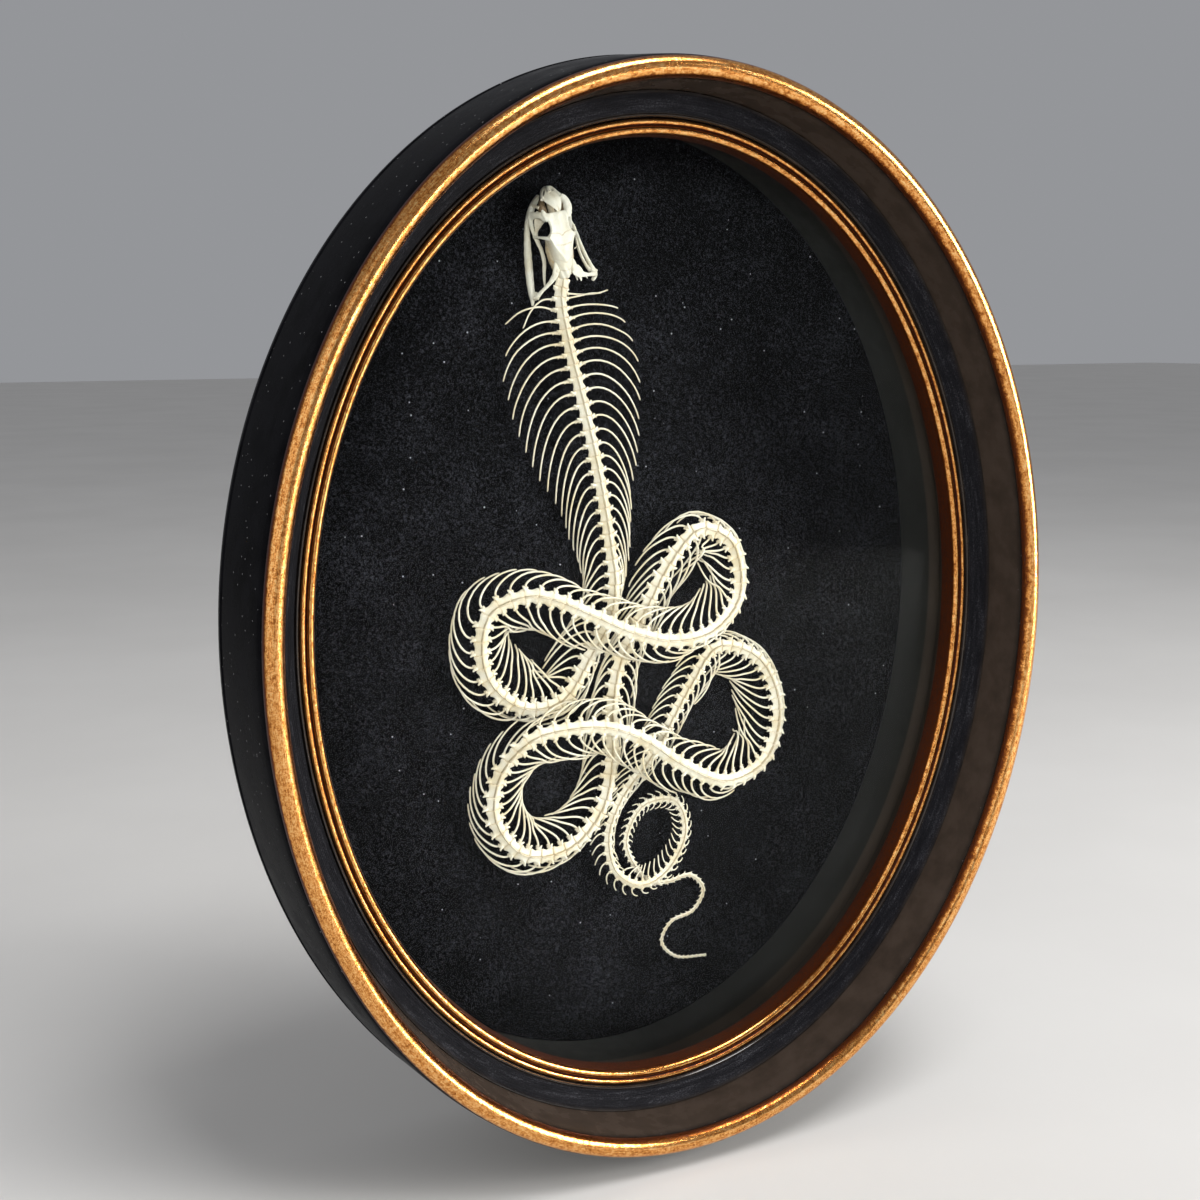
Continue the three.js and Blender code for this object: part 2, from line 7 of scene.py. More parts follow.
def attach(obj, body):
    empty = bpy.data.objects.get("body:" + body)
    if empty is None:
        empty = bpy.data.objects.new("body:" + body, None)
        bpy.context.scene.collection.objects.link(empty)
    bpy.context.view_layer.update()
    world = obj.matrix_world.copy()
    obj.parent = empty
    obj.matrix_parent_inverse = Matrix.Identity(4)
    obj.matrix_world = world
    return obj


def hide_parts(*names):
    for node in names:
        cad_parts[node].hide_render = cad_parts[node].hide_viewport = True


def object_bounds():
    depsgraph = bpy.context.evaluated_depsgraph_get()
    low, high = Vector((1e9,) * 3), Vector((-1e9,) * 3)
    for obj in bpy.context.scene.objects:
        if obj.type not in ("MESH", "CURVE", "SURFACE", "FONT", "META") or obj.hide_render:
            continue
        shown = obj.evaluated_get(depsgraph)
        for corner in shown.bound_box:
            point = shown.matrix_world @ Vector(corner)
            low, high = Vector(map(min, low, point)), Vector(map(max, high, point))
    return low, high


# A cobra skeleton behind glass in a deep oval frame. Lengths are in mm, and MM turns them into metres.
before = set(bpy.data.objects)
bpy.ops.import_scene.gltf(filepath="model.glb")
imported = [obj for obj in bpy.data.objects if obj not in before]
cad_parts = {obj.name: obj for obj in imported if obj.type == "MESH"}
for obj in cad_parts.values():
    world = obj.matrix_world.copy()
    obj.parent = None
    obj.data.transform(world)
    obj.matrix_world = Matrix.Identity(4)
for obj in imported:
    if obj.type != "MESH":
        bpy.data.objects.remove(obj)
cad_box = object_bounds()
MM = 0.001
rng = np.random.default_rng(7)

# ---- dimensions, as in the part's source
HALF_WIDTH, HALF_HEIGHT, FRAME_DEPTH = 193.0, 250.0, 100.0
GLASS_DEPTH, GLASS_THICKNESS, GLASS_INSET = 40.2, 3.0, 14.0
VELVET_DEPTH, VELVET_THICKNESS = 92.0, 2.7
VELVET_Y = VELVET_DEPTH - FRAME_DEPTH
OVAL_STEPS = 320

# by the distance along the spine: [distance, value]
PITCH = [[0, 4.4], [16, 5.2], [35, 5.9], [55, 6.7], [900, 6.9], [1090, 5.6], [1200, 4.6], [1330, 3.6],
         [1430, 2.6]]
HALF_SPINE = [[0, 2.3], [60, 2.7], [950, 2.7], [1100, 2.2], [1250, 1.5], [1420, 0.6]]
RIB_REACH = [[8, 16], [14, 17], [18, 22], [23, 26.5], [28, 30], [34, 32.5], [46, 29.5], [60, 24.5],
             [80, 17], [110, 12.5], [150, 12], [960, 12], [1060, 8], [1150, 7], [1185, 6], [1225, 3.6],
             [1290, 2]]
RIB_SWEEP = [[8, 1], [14, 2], [18, 3.5], [23, 7], [28, 13], [34, 20], [46, 26.5], [60, 30], [85, 29],
             [130, 21], [170, 18], [960, 18], [1060, 9], [1150, 6], [1200, 3], [1290, 1]]
RIB_DROP = [[0, 2], [18, 4], [35, 8], [120, 10], [960, 10.3], [1080, 6], [1200, 2.6], [1300, 1]]
RIB_THICK = [[0, 0.44], [40, 0.49], [120, 0.49], [180, 0.55], [960, 0.55], [1100, 0.44], [1290, 0.30]]
# factors on the reach outside a bend, and what is added to it inside one
OUTSIDE_REACH = [[200, 1], [245, 1.2], [290, 1.2], [320, 1], [640, 1], [670, 1.3], [715, 1.3], [745, 0.7],
                 [775, 0.6], [800, 1]]
OUTSIDE_TRIM = [[690, 1], [708, 0.84], [738, 0.84], [760, 1]]
INSIDE_GAIN = [[120, 0], [200, 0.25], [215, 0.45], [245, 0.45], [262, 0.12], [320, 0.12], [380, 0.25],
               [520, 0.25], [620, 0.12], [820, 0.12], [900, 0.3], [1000, 0.3], [1060, 0]]
# how much the outer ribs below a right-hand bend are steep too, and not only those on its right
STEEP_BELOW = [[380, 0], [400, 0.8], [440, 0.8], [470, 0], [850, 0], [880, 0.9], [935, 0.9], [965, 0]]
# how far the arches are narrowed at their waists, and how broad they are over the plain spine
WAIST = [[0, 0.35], [12, 0.6], [30, 1]]
ARCH_BREADTH = [[0, 1.62], [5, 1.45], [10, 1.3], [40, 1.24], [130, 1.26], [190, 1.44], [960, 1.44],
                [1150, 1.26], [1430, 1.25]]
# by the spine's bend in 1/mm, above 0 on the inner side: [bend, factor]
REACH_BY_BEND = [[-0.032, 0.78], [0, 1], [0.032, 1.25]]
SWEEP_BY_BEND = [[-0.032, 0.62], [0, 1], [0.032, 1.3]]
GAIN_BY_BEND = [[0, 0], [0.025, 1], [0.04, 1], [0.06, 0]]

FIRST_RIB, RIB_END, WINGS_END, HOOKS_END = 2, 1290, 1330, 1200
HOOD_RIBS_END = 46
RIB_TURN = math.radians(78)
LOWEST_RIB, LOWEST_FINE_RIB = 1.2, 0.7
CLEARANCE, OWN_STRETCH, LEVEL_SPACE = 1.0, 46.0, 0.5
CURVE_STEPS, BEND_SPAN, TANGENT_SPAN = 48, 9.0, 0.8

# the spine's way through each node: [x, z, height above the velvet]
ROUTE = {
    "neck_and_hood": [[-28.5, 164.5, 9.4], [-30.5, 154.5, 10.5], [-27.5, 134, 12], [-21.5, 109.5, 12.5],
                      [-16, 87.5, 12.5], [-12, 70, 12], [-8, 51, 11], [-4, 29, 9.5]],
    "body_upper_left_loop": [[-2, 14, 9], [-5, -6, 9], [-15, -22.5, 9], [-31.5, -45, 9],
                             [-51.5, -47, 9], [-70.5, -32, 12], [-76, -14, 14], [-71.5, 4.5, 16]],
    "body_upper_strand": [[-54, 12, 21], [-41.5, 10, 24.5], [-21, 0.5, 26], [1, -10, 26], [24, -16, 26]],
    "body_upper_right_loop": [[46, -13, 24.5], [67, 3.5, 15], [62.5, 30.5, 14], [44, 38.5, 14],
                              [27.5, 21.5, 12]],
    "body_middle_strand": [[17, 1, 9], [7, -16.5, 9], [0, -31, 9], [-3.5, -50.5, 9]],
    "body_lower_left_loop": [[-4, -64.5, 9], [-4, -79, 9], [-10, -104, 10], [-29.5, -121.5, 13],
                             [-55, -121.5, 14], [-70.5, -101, 14], [-68.5, -77, 17]],
    "body_lower_strand": [[-54, -59, 24.5], [-34.5, -55.5, 26], [-12.5, -57.5, 26], [7.5, -66.5, 26],
                          [29, -82, 25]],
    "body_lower_right_loop": [[59.5, -96, 19], [85.5, -87.5, 14], [93, -60, 13],
                              [82, -33.5, 9.5], [57.5, -25.5, 9], [42, -44, 9]],
    "tail_base": [[31, -61.5, 9], [23, -75, 9], [14, -86, 9], [0.5, -102.5, 9], [-6, -122, 8.5]],
    "tail_ring": [[-2, -140.5, 10], [11.5, -149, 12], [28.5, -143, 10], [39.5, -124, 8],
                  [34, -107.5, 7], [16, -107.5, 6], [6, -125.5, 5]],
    "tail_tip": [[12.5, -142.5, 3.6], [21, -152, 3], [32, -153.5, 3], [45.5, -152, 3], [53.5, -161.5, 2.8],
                 [47.5, -172.5, 2.6], [34, -177, 2.4], [28.5, -187.5, 2.2], [37, -197.5, 2],
                 [56, -200.5, 1.8]],
}
SKULL_AT = (-28.2, 164.9)
SKULL_TURN = math.radians(11.9)


def read(table, at):
    return np.interp(at, [row[0] for row in table], [row[1] for row in table])


def share_of(value, start, end):
    """0 up to start, 1 from end on, and a straight line between them."""
    return np.clip((value - start) / (end - start), 0, 1)


# ---- material nodes
# the colour sockets of a Mix node share their names with other sockets, so they go by number
MIX_FACTOR, MIX_A, MIX_B, MIX_RESULT = 0, 6, 7, 2
COAT_ROUGHNESS = 0.12
MEAN_RADIUS, LATHE_LINE = 220, 0.9


class Paint:
    """A node material under construction. Scales are per metre, and bump distances in metres."""

    def __init__(self, name, color=(0.8, 0.8, 0.8), roughness=0.5, metallic=0.0, specular=0.5, sheen=0.0):
        self.mat = bpy.data.materials.new(name)
        self.mat.use_nodes = True
        self.tree = self.mat.node_tree
        self.bsdf = self.tree.nodes["Principled BSDF"]
        self.use(Base_Color=color, Roughness=roughness, Metallic=metallic, Specular_IOR_Level=specular,
                 Coat_Roughness=COAT_ROUGHNESS, Sheen_Weight=sheen)
        self.position = self.node("ShaderNodeTexCoord").outputs["Object"]

    def fill(self, socket, value):
        """Links a node's output to a socket, or sets the socket to a colour or a number."""
        if isinstance(value, bpy.types.NodeSocket):
            self.tree.links.new(value, socket)
        else:
            socket.default_value = (*value, 1) if isinstance(value, tuple) else value

    def node(self, kind, inputs=None, **settings):
        made = self.tree.nodes.new(kind)
        for key, value in settings.items():
            setattr(made, key, value)
        for socket, value in (inputs or {}).items():
            self.fill(made.inputs[socket], value)
        return made

    def math(self, operation, a, b=0.0, clamp=False):
        return self.node("ShaderNodeMath", {0: a, 1: b}, operation=operation, use_clamp=clamp).outputs[0]

    def weighted(self, *pairs):
        """The sum of some sources, each times its weight."""
        parts = [self.math("MULTIPLY", source, weight) for source, weight in pairs]
        total = parts[0]
        for part in parts[1:]:
            total = self.math("ADD", total, part)
        return total

    def noise(self, scale, detail=4.0, roughness=0.55, vector=None, distortion=0.0):
        inputs = {"Vector": vector or self.position, "Scale": scale, "Detail": detail, "Roughness": roughness,
                  "Distortion": distortion}
        return self.node("ShaderNodeTexNoise", inputs).outputs["Fac"]

    def specks(self, scale, size):
        """1 in small round spots, 0 elsewhere."""
        cells = self.node("ShaderNodeTexVoronoi", {"Vector": self.position, "Scale": scale})
        return self.math("LESS_THAN", cells.outputs["Distance"], size)

    def ramp(self, source, *stops):
        made = self.node("ShaderNodeValToRGB", {"Fac": source})
        elements = made.color_ramp.elements
        while len(elements) < len(stops):
            elements.new(0.5)
        for element, (at, color) in zip(elements, stops):
            element.position = at
            element.color = (*color, 1) if isinstance(color, tuple) else (color, color, color, 1)
        return made.outputs["Color"]

    def mix(self, factor, a, b):
        """Colour a where the factor is 0, and colour b where it is 1."""
        made = self.node("ShaderNodeMix", {MIX_FACTOR: factor, MIX_A: a, MIX_B: b}, data_type="RGBA")
        return made.outputs[MIX_RESULT]

    def attribute(self, name):
        return self.node("ShaderNodeAttribute", attribute_name=name).outputs["Fac"]

    def bump(self, height, strength, distance):
        made = self.node("ShaderNodeBump", {"Strength": strength, "Distance": distance, "Height": height})
        self.use(Normal=made.outputs["Normal"])

    def use(self, **sockets):
        for name, source in sockets.items():
            self.fill(self.bsdf.inputs[name.replace("_", " ")], source)
        return self.mat


def along_oval(p, coarse):
    """A vector that changes fast across the moulding and slowly along it, and the place across it."""
    x, y, z = p.node("ShaderNodeSeparateXYZ", {0: p.position}).outputs
    u = p.math("DIVIDE", x, HALF_WIDTH * MM)
    v = p.math("DIVIDE", z, HALF_HEIGHT * MM)
    radius = p.math("SQRT", p.math("ADD", p.math("MULTIPLY", u, u), p.math("MULTIPLY", v, v)))
    across = p.math("MULTIPLY", radius, MEAN_RADIUS * MM)
    joined = p.node("ShaderNodeCombineXYZ", {0: p.math("MULTIPLY", x, coarse), 1: p.math("ADD", across, y),
                                             2: p.math("MULTIPLY", z, coarse)})
    return joined.outputs[0], across


def gilt():
    """Gold leaf, rubbed through to the red and black below where wear is high; on the bead's inner flank and
    the liner's feet and groove that darkening is painted shade and reflection.
    """
    p = Paint("gold_leaf", roughness=0.34, metallic=0.9)
    streaks, _ = along_oval(p, 0.12)
    patches, grain = p.noise(520, 8, 0.78), p.noise(1350, 4, 0.75)
    level = p.weighted((patches, 0.36), (p.noise(1900, 6, 0.66, streaks), 0.30), (grain, 0.34),
                       (p.attribute("wear"), -0.34))
    base = p.ramp(level, (0.20, (0.030, 0.006, 0.002)), (0.38, (0.15, 0.036, 0.008)),
                  (0.45, (0.42, 0.145, 0.030)), (0.50, (0.85, 0.36, 0.090)), (0.57, (1.0, 0.63, 0.26)))
    rough = p.ramp(level, (0.28, 0.45), (0.43, 0.22), (0.54, 0.10))
    metal = p.ramp(level, (0.22, 0.4), (0.38, 1.0))
    p.bump(p.weighted((patches, 0.6), (grain, 0.4)), 0.22, 0.0005)
    return p.use(Base_Color=base, Roughness=rough, Metallic=metal)


def lacquer():
    """Black, and brown on the inner wall, where wear is 1."""
    p = Paint("black_lacquer", roughness=0.2, specular=0.008)
    cloud = p.noise(70, 5, 0.6)
    black = p.ramp(cloud, (0.35, (0.002, 0.002, 0.0025)), (0.7, (0.005, 0.005, 0.0062)))
    black = p.mix(p.specks(230, 0.085), black, (0.12, 0.12, 0.125))
    brown = p.ramp(cloud, (0.3, (0.030, 0.022, 0.017)), (0.7, (0.050, 0.037, 0.029)))
    p.bump(p.noise(500, 3), 0.08, 0.0004)
    base = p.mix(p.attribute("wear"), black, brown)
    return p.use(Base_Color=base, Roughness=p.ramp(cloud, (0.3, 0.2), (0.7, 0.34)))


def cove():
    """Smooth where wear is 0, rough at 1, and polished at 2, on the roll beside the liner."""
    p = Paint("brown_black_cove", roughness=0.4, specular=0.04)
    streaks, across = along_oval(p, 0.05)
    tone = p.attribute("wear")
    polished = p.math("SUBTRACT", tone, 1.0, clamp=True)
    rough_part = p.math("SUBTRACT", tone, p.math("MULTIPLY", polished, 2.0), clamp=True)
    lines = p.math("SINE", p.math("MULTIPLY", across, 2 * math.pi / (LATHE_LINE * MM)))
    worn = p.weighted((p.noise(1500, 4, 0.7), 0.6), (p.noise(1100, 4, 0.6, streaks), 0.4))
    smooth_color = p.ramp(p.noise(110, 6, 0.62), (0.3, (0.006, 0.0045, 0.0035)), (0.7, (0.024, 0.018, 0.014)))
    rough_color = p.ramp(worn, (0.38, (0.004, 0.004, 0.005)), (0.54, (0.009, 0.009, 0.011)),
                         (0.66, (0.042, 0.042, 0.048)))
    relief = p.math("ADD", p.math("MULTIPLY", rough_part, 0.85), 0.15)
    p.bump(p.math("MULTIPLY", p.weighted((lines, 0.12), (worn, 1.0)), relief), 0.4, 0.0007)
    return p.use(Base_Color=p.mix(rough_part, smooth_color, rough_color),
                 Roughness=p.ramp(rough_part, (0.0, 0.22), (1.0, 0.55)), Coat_Weight=polished)


def box_paint():
    """Dark grey, with a brown band where wear is 1, which is a painted reflection of the gilt liner in the
    glass.
    """
    p = Paint("dark_grey_paint", roughness=0.5, specular=0.4)
    cloud = p.noise(30, 5, 0.6)
    grey = p.ramp(cloud, (0.3, (0.022, 0.023, 0.022)), (0.7, (0.034, 0.035, 0.034)))
    brown = p.ramp(cloud, (0.3, (0.052, 0.042, 0.035)), (0.7, (0.072, 0.058, 0.048)))
    p.bump(p.noise(600, 4), 0.1, 0.0004)
    return p.use(Base_Color=p.mix(p.attribute("wear"), grey, brown),
                 Roughness=p.ramp(p.noise(120, 4), (0.3, 0.42), (0.7, 0.6)))


def velvet():
    """Black pile, with lint and dust."""
    p = Paint("black_velvet", roughness=1.0, specular=0.03, sheen=0.05)
    pile = p.noise(640, 4, 0.72, distortion=1.2)
    nap = p.weighted((pile, 0.84), (p.noise(42, 5, 0.6), 0.16))
    base = p.ramp(nap, (0.42, (0.0008, 0.0008, 0.0010)), (0.53, (0.0034, 0.0035, 0.0044)),
                  (0.63, (0.034, 0.035, 0.043)))
    base = p.mix(p.specks(105, 0.045), base, (0.32, 0.33, 0.36))
    base = p.mix(p.specks(420, 0.16), base, (0.030, 0.031, 0.037))
    p.bump(pile, 0.9, 0.0009)
    return p.use(Base_Color=base)


def board():
    p = Paint("brown_hardboard", roughness=0.8, specular=0.25)
    stretched = p.node("ShaderNodeMapping", {"Vector": p.position})
    stretched.inputs["Scale"].default_value = (1, 1, 0.12)
    fibres = p.noise(420, 6, 0.65, stretched.outputs[0])
    base = p.ramp(fibres, (0.3, (0.030, 0.021, 0.015)), (0.55, (0.060, 0.043, 0.031)),
                  (0.75, (0.10, 0.074, 0.053)))
    p.bump(fibres, 0.35, 0.0006)
    return p.use(Base_Color=base, Roughness=p.ramp(fibres, (0.3, 0.9), (0.7, 0.65)))


def bone(name, light, warm, stain_and_shade=(0.47, 0.35, 0.19), seam_and_hollow_shade=(0.10, 0.065, 0.035)):
    """Stained where wear is up to 1, which in places is painted shade; at 2 as dark as a deep hollow, which
    darkens seams and paints shade into hollows.
    """
    p = Paint(name, roughness=0.45, specular=0.42)
    wear, fine = p.attribute("wear"), p.noise(900, 5, 0.65)
    base = p.ramp(p.noise(85, 5, 0.62), (0.34, warm), (0.58, light))
    darkened = p.math("MULTIPLY", wear, p.ramp(fine, (0.35, 1.0), (0.7, 0.35)), clamp=True)
    base = p.mix(p.math("SUBTRACT", wear, 1.0, clamp=True), p.mix(darkened, base, stain_and_shade), seam_and_hollow_shade)
    pits = p.ramp(p.noise(2200, 3, 0.6), (0.30, 0.0), (0.42, 1.0))
    p.bump(p.weighted((p.noise(330, 4, 0.6), 1.3), (fine, 0.5), (pits, 0.3)), 0.4, 0.0006)
    return p.use(Base_Color=base, Roughness=p.ramp(fine, (0.3, 0.58), (0.7, 0.38)))


def pane():
    """Clear glass: the lamps shine through, and only its faint reflection shows."""
    p = Paint("clear_glass")
    p.tree.nodes.remove(p.bsdf)
    clear = p.node("ShaderNodeBsdfTransparent", {"Color": (0.985, 0.992, 0.99)})
    shine = p.node("ShaderNodeBsdfGlossy", {"Roughness": 0.02})
    fresnel = p.node("ShaderNodeFresnel", {"IOR": 1.11})
    mixed = p.node("ShaderNodeMixShader", {0: fresnel.outputs[0], 1: clear.outputs[0], 2: shine.outputs[0]})
    p.fill(p.tree.nodes["Material Output"].inputs["Surface"], mixed.outputs[0])
    return p.mat


GILT, LACQUER, COVE, BOX = gilt(), lacquer(), cove(), box_paint()
VELVET, BOARD, GLASS = velvet(), board(), pane()
BONE = bone("bone_ivory", (0.87, 0.83, 0.69), (0.78, 0.69, 0.48))
# the skull's bone is a darker, greyer copy of the ivory bone, as painted shade that tones down the light on
# the skull
SHADED_SKULL_BONE = bone("bone_skull_shaded", (0.77, 0.76, 0.66), (0.67, 0.63, 0.49))


# ---- mesh helpers
class Skin:
    """Closed shells in mm, gathered into one mesh, with the wear, stains and painted shade and reflection
    that its material reads at each point.
    """

    def __init__(self):
        self.points, self.faces, self.wear, self.count = [], [], [], 0

    def rings(self, rings, closed=False, wear=0.0):
        """Joins rings of points (rings, sides, 3), closed to a loop or else with capped ends.

        wear is one number, a number for each ring, or an array of (rings or 1, sides)."""
        rings, wear = np.asarray(rings, float), np.asarray(wear, float)
        k, n = rings.shape[:2]
        index = self.count + np.arange(k * n).reshape(k, n)
        nearer = index if closed else index[:-1]
        further = np.roll(index, -1, 0) if closed else index[1:]
        around = (nearer, np.roll(nearer, -1, 1), np.roll(further, -1, 1), further)
        quads = np.stack(around, -1).reshape(-1, 4)
        faces = quads.tolist()
        if not closed:
            faces += [index[0][::-1].tolist(), index[-1].tolist()]
        flat = rings.reshape(-1, 3)
        self.points.append(flat)
        self.wear.append(np.broadcast_to(wear[:, None] if wear.ndim == 1 else wear, (k, n)).reshape(-1))
        # a shell whose volume comes out below 0 has its faces turned inward
        a, b, c, d = (flat[quads[:, i] - self.count] for i in range(4))
        volume = np.sum(a * (np.cross(b, c) + np.cross(c, d)))
        for cap in faces[len(quads):]:
            corners = flat[np.array(cap) - self.count]
            volume += np.sum(np.cross(corners[1:-1], corners[2:]) @ corners[0])
        self.faces += [face[::-1] for face in faces] if volume < 0 else faces
        self.count += k * n

    def tube(self, path, half_wide, half_high, sides=8, up=(0, -1, 0), wear=0.0, power=1.0):
        """A rod along a path, with a half width and half height at each point. power below 1 squares it."""
        path, up = np.asarray(path, float), np.asarray(up, float)
        along = np.gradient(path, axis=0)
        along /= np.linalg.norm(along, axis=1, keepdims=True) + 1e-12
        rise = up - along * (along @ up)[:, None]
        rise /= np.linalg.norm(rise, axis=1, keepdims=True) + 1e-12
        across = np.cross(rise, along)
        angle = 2 * np.pi * np.arange(sides) / sides
        cos, sin = (np.sign(wave) * np.abs(wave) ** power for wave in (np.cos(angle), np.sin(angle)))
        wide = np.broadcast_to(half_wide, len(path))[:, None, None]
        high = np.broadcast_to(half_high, len(path))[:, None, None]
        sideways = across[:, None] * cos[None, :, None] * wide
        self.rings(path[:, None] + sideways + rise[:, None] * sin[None, :, None] * high, wear=wear)

    def ball(self, centre, axes, radii, sides=8, steps=5, wear=0.0):
        """An ellipsoid whose axes are three unit vectors."""
        tall = np.linspace(-0.96, 0.96, steps)
        angle = 2 * np.pi * np.arange(sides) / sides
        span = np.sqrt(1 - tall ** 2)
        a, b, c = (np.asarray(axis) * radius for axis, radius in zip(axes, radii))
        around = np.cos(angle)[None, :, None] * a + np.sin(angle)[None, :, None] * b
        self.rings(centre + tall[:, None, None] * c + span[:, None, None] * around, wear=wear)

    def build(self, name, material, slot, *nodes, smooth=True, sharp=None):
        points = np.concatenate(self.points) * MM
        mesh = bpy.data.meshes.new(name)
        mesh.from_pydata(points.tolist(), [], self.faces)
        wear = mesh.attributes.new("wear", "FLOAT", "POINT")
        wear.data.foreach_set("value", np.concatenate(self.wear).astype(np.float32))
        mesh.materials.append(material)
        if smooth:
            mesh.shade_smooth()
        if sharp:
            mesh.set_sharp_from_angle(angle=math.radians(sharp))
        piece = bpy.data.objects.new(name, mesh)
        bpy.context.collection.objects.link(piece)
        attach(piece, "root")
        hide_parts(*nodes)


def smooth_rows(rows, steps):
    """Rounds a table of rows into steps rows, by a Catmull-Rom curve through it."""
    rows = np.asarray(rows, float)
    padded = np.vstack([2 * rows[0] - rows[1], rows, 2 * rows[-1] - rows[-2]])
    out = []
    for at in np.linspace(0, len(rows) - 1, steps):
        i = min(int(at), len(rows) - 2)
        t = at - i
        p0, p1, p2, p3 = padded[i:i + 4]
        out.append(0.5 * (2 * p1 + (p2 - p0) * t + (2 * p0 - 5 * p1 + 4 * p2 - p3) * t ** 2
                          + (3 * p1 - p0 - 3 * p2 + p3) * t ** 3))
    return np.array(out)


# ---- frame
def oval(inset, depth):
    """The frame's oval, inset from its outer edge and some depth behind its front."""
    angle = 2 * np.pi * np.arange(OVAL_STEPS) / OVAL_STEPS
    return np.stack([(HALF_WIDTH - inset) * np.cos(angle), np.full(OVAL_STEPS, depth - FRAME_DEPTH),
                     (HALF_HEIGHT - inset) * np.sin(angle)], -1)


def moulding(outline, wear):
    """Sweeps a closed outline of [inset, depth] round the oval, with the wear and painted light of each of
    its points.
    """
    skin = Skin()
    skin.rings(np.stack([oval(*point) for point in outline], 1), closed=True, wear=np.array([wear], float))
    return skin


def plate(inset, front, back, bevel):
    skin = Skin()
    skin.rings([oval(inset + bevel, back), oval(inset, back - bevel), oval(inset, front + bevel),
                oval(inset + bevel, front)])
    return skin


def arc(centre, depth, radius_in, radius_deep, start, end, steps):
    """Points of [inset, depth] on an elliptical arc; 0 degrees is outward and 90 towards the viewer."""
    angles = np.radians(np.linspace(start, end, steps))
    return [[centre - radius_in * math.cos(a), depth - radius_deep * math.sin(a)] for a in angles]


def build_frame():
    bead = arc(0, 0, 4.7, 4.7, 0, 180, 25) + [[4.5, 0.25], [-4.5, 0.25]]
    # rubbed through at its outer foot, and darkened towards its inner foot as a painted reflection of the
    # black cove
    wear = [min(1.0, max(0.0, (-inset - 3.9) / 0.8, (inset - 3.0) / 3.0)) for inset, _ in bead]
    moulding(bead, wear).build("gilt_bead", GILT, "gilt", "outer_gilt_bead", sharp=50)

    side = [[-4.7, 0.3], [-5.2, 1.2], [-6.1, 5], [-7.2, 12], [-8.4, 20], [-9.6, 28], [-10.9, 37],
            [-11.8, 44], [-12.1, 46.6], [-11.7, 47.3], [-12.1, 48], [-12.7, 48.6], [-12.8, 50.4],
            [-12.6, 52.3], [-12.2, 52.7], [4.7, 52.7], [4.7, 43.4]]
    step_wall = [[5, 39], [5.9, 25], [5.9, 23.4], [5.3, 12], [4.9, 4], [4.6, 0.3]]
    wear = [0] * len(side) + [1] * (len(step_wall) - 1) + [0.3]
    moulding(side + step_wall, wear).build("black_side", LACQUER, "lacquer", "black_moulding", sharp=28)

    floor = [[5.3, 40], [6.15, 24.6], [6.35, 23.9], [6.9, 24.2], [7.4, 25.3], [8.2, 26.3], [9.8, 27.2],
             [12, 28.1], [14.6, 28.9], [15.3, 29.1], [15.5, 28.6], [16, 28.25], [16.5, 28.3], [16.9, 28.8],
             [17.1, 29.6], [17.1, 39.9], [13.7, 39.9], [13.7, 43.4], [5.1, 43.4]]
    wear = [0, 0, 0.2, 0.5, 0.9, 1, 1, 1, 1, 0.6, 2, 2, 2, 2, 0, 0, 0, 0, 0]
    moulding(floor, wear).build("cove_floor", COVE, "lacquer", "black_cove", sharp=40)

    outer_roll = arc(18.85, 30.4, 1.45, 1.6, 0, 158, 11)
    inner_roll = arc(22.35, 31.6, 2.15, 2.6, 28, 180, 15)
    back = [[24.5, 33], [24.5, 39.7], [24.2, 39.9], [17.4, 39.9]]
    # the feet of the liner's rolls and the groove between them are darkened as painted shade; towards its
    # inner edge and over its back the leaf is rubbed through to the red below
    wear = ([0.9, 0.5] + [0.0] * 7 + [0.6, 1.0] + [1.0, 0.5] + [0.0] * 9 + [0.2, 0.4, 0.5, 0.55]
            + [0.6, 0.8, 0.9, 0.9])
    liner = outer_roll + inner_roll + back
    moulding(liner, wear).build("gilt_liner", GILT, "gilt", "inner_gilt_liner", sharp=55)

    glass_back = GLASS_DEPTH + GLASS_THICKNESS
    sheet = plate(GLASS_INSET, GLASS_DEPTH, glass_back, 0.3)
    sheet.build("glass_pane", GLASS, "glass", "glass", smooth=False)
    # the brown band along the wall is a painted reflection of the gilt liner in the glass
    wall = [[5, 43.9], [12, 43.9], [12, 49.5], [12, 50.3], [12, 57.6], [12, 58.2], [12, 58.8], [12, 67],
            [12, 68.5], [12, 94.9], [5.4, 94.9], [5, 94.5]]
    wear = [0, 0, 0, 1, 1, 0.2, 1, 1, 0, 0, 0, 0]
    moulding(wall, wear).build("case_wall", BOX, "box_paint", "box_wall", sharp=30)
    velvet_back = VELVET_DEPTH + VELVET_THICKNESS
    ground = plate(12.2, VELVET_DEPTH, velvet_back, 0.5)
    ground.build("velvet_ground", VELVET, "velvet", "velvet_backing", sharp=30)
    plate(5.0, 95.3, FRAME_DEPTH, 0.6).build("hardboard_back", BOARD, "board", "back_board", sharp=30)


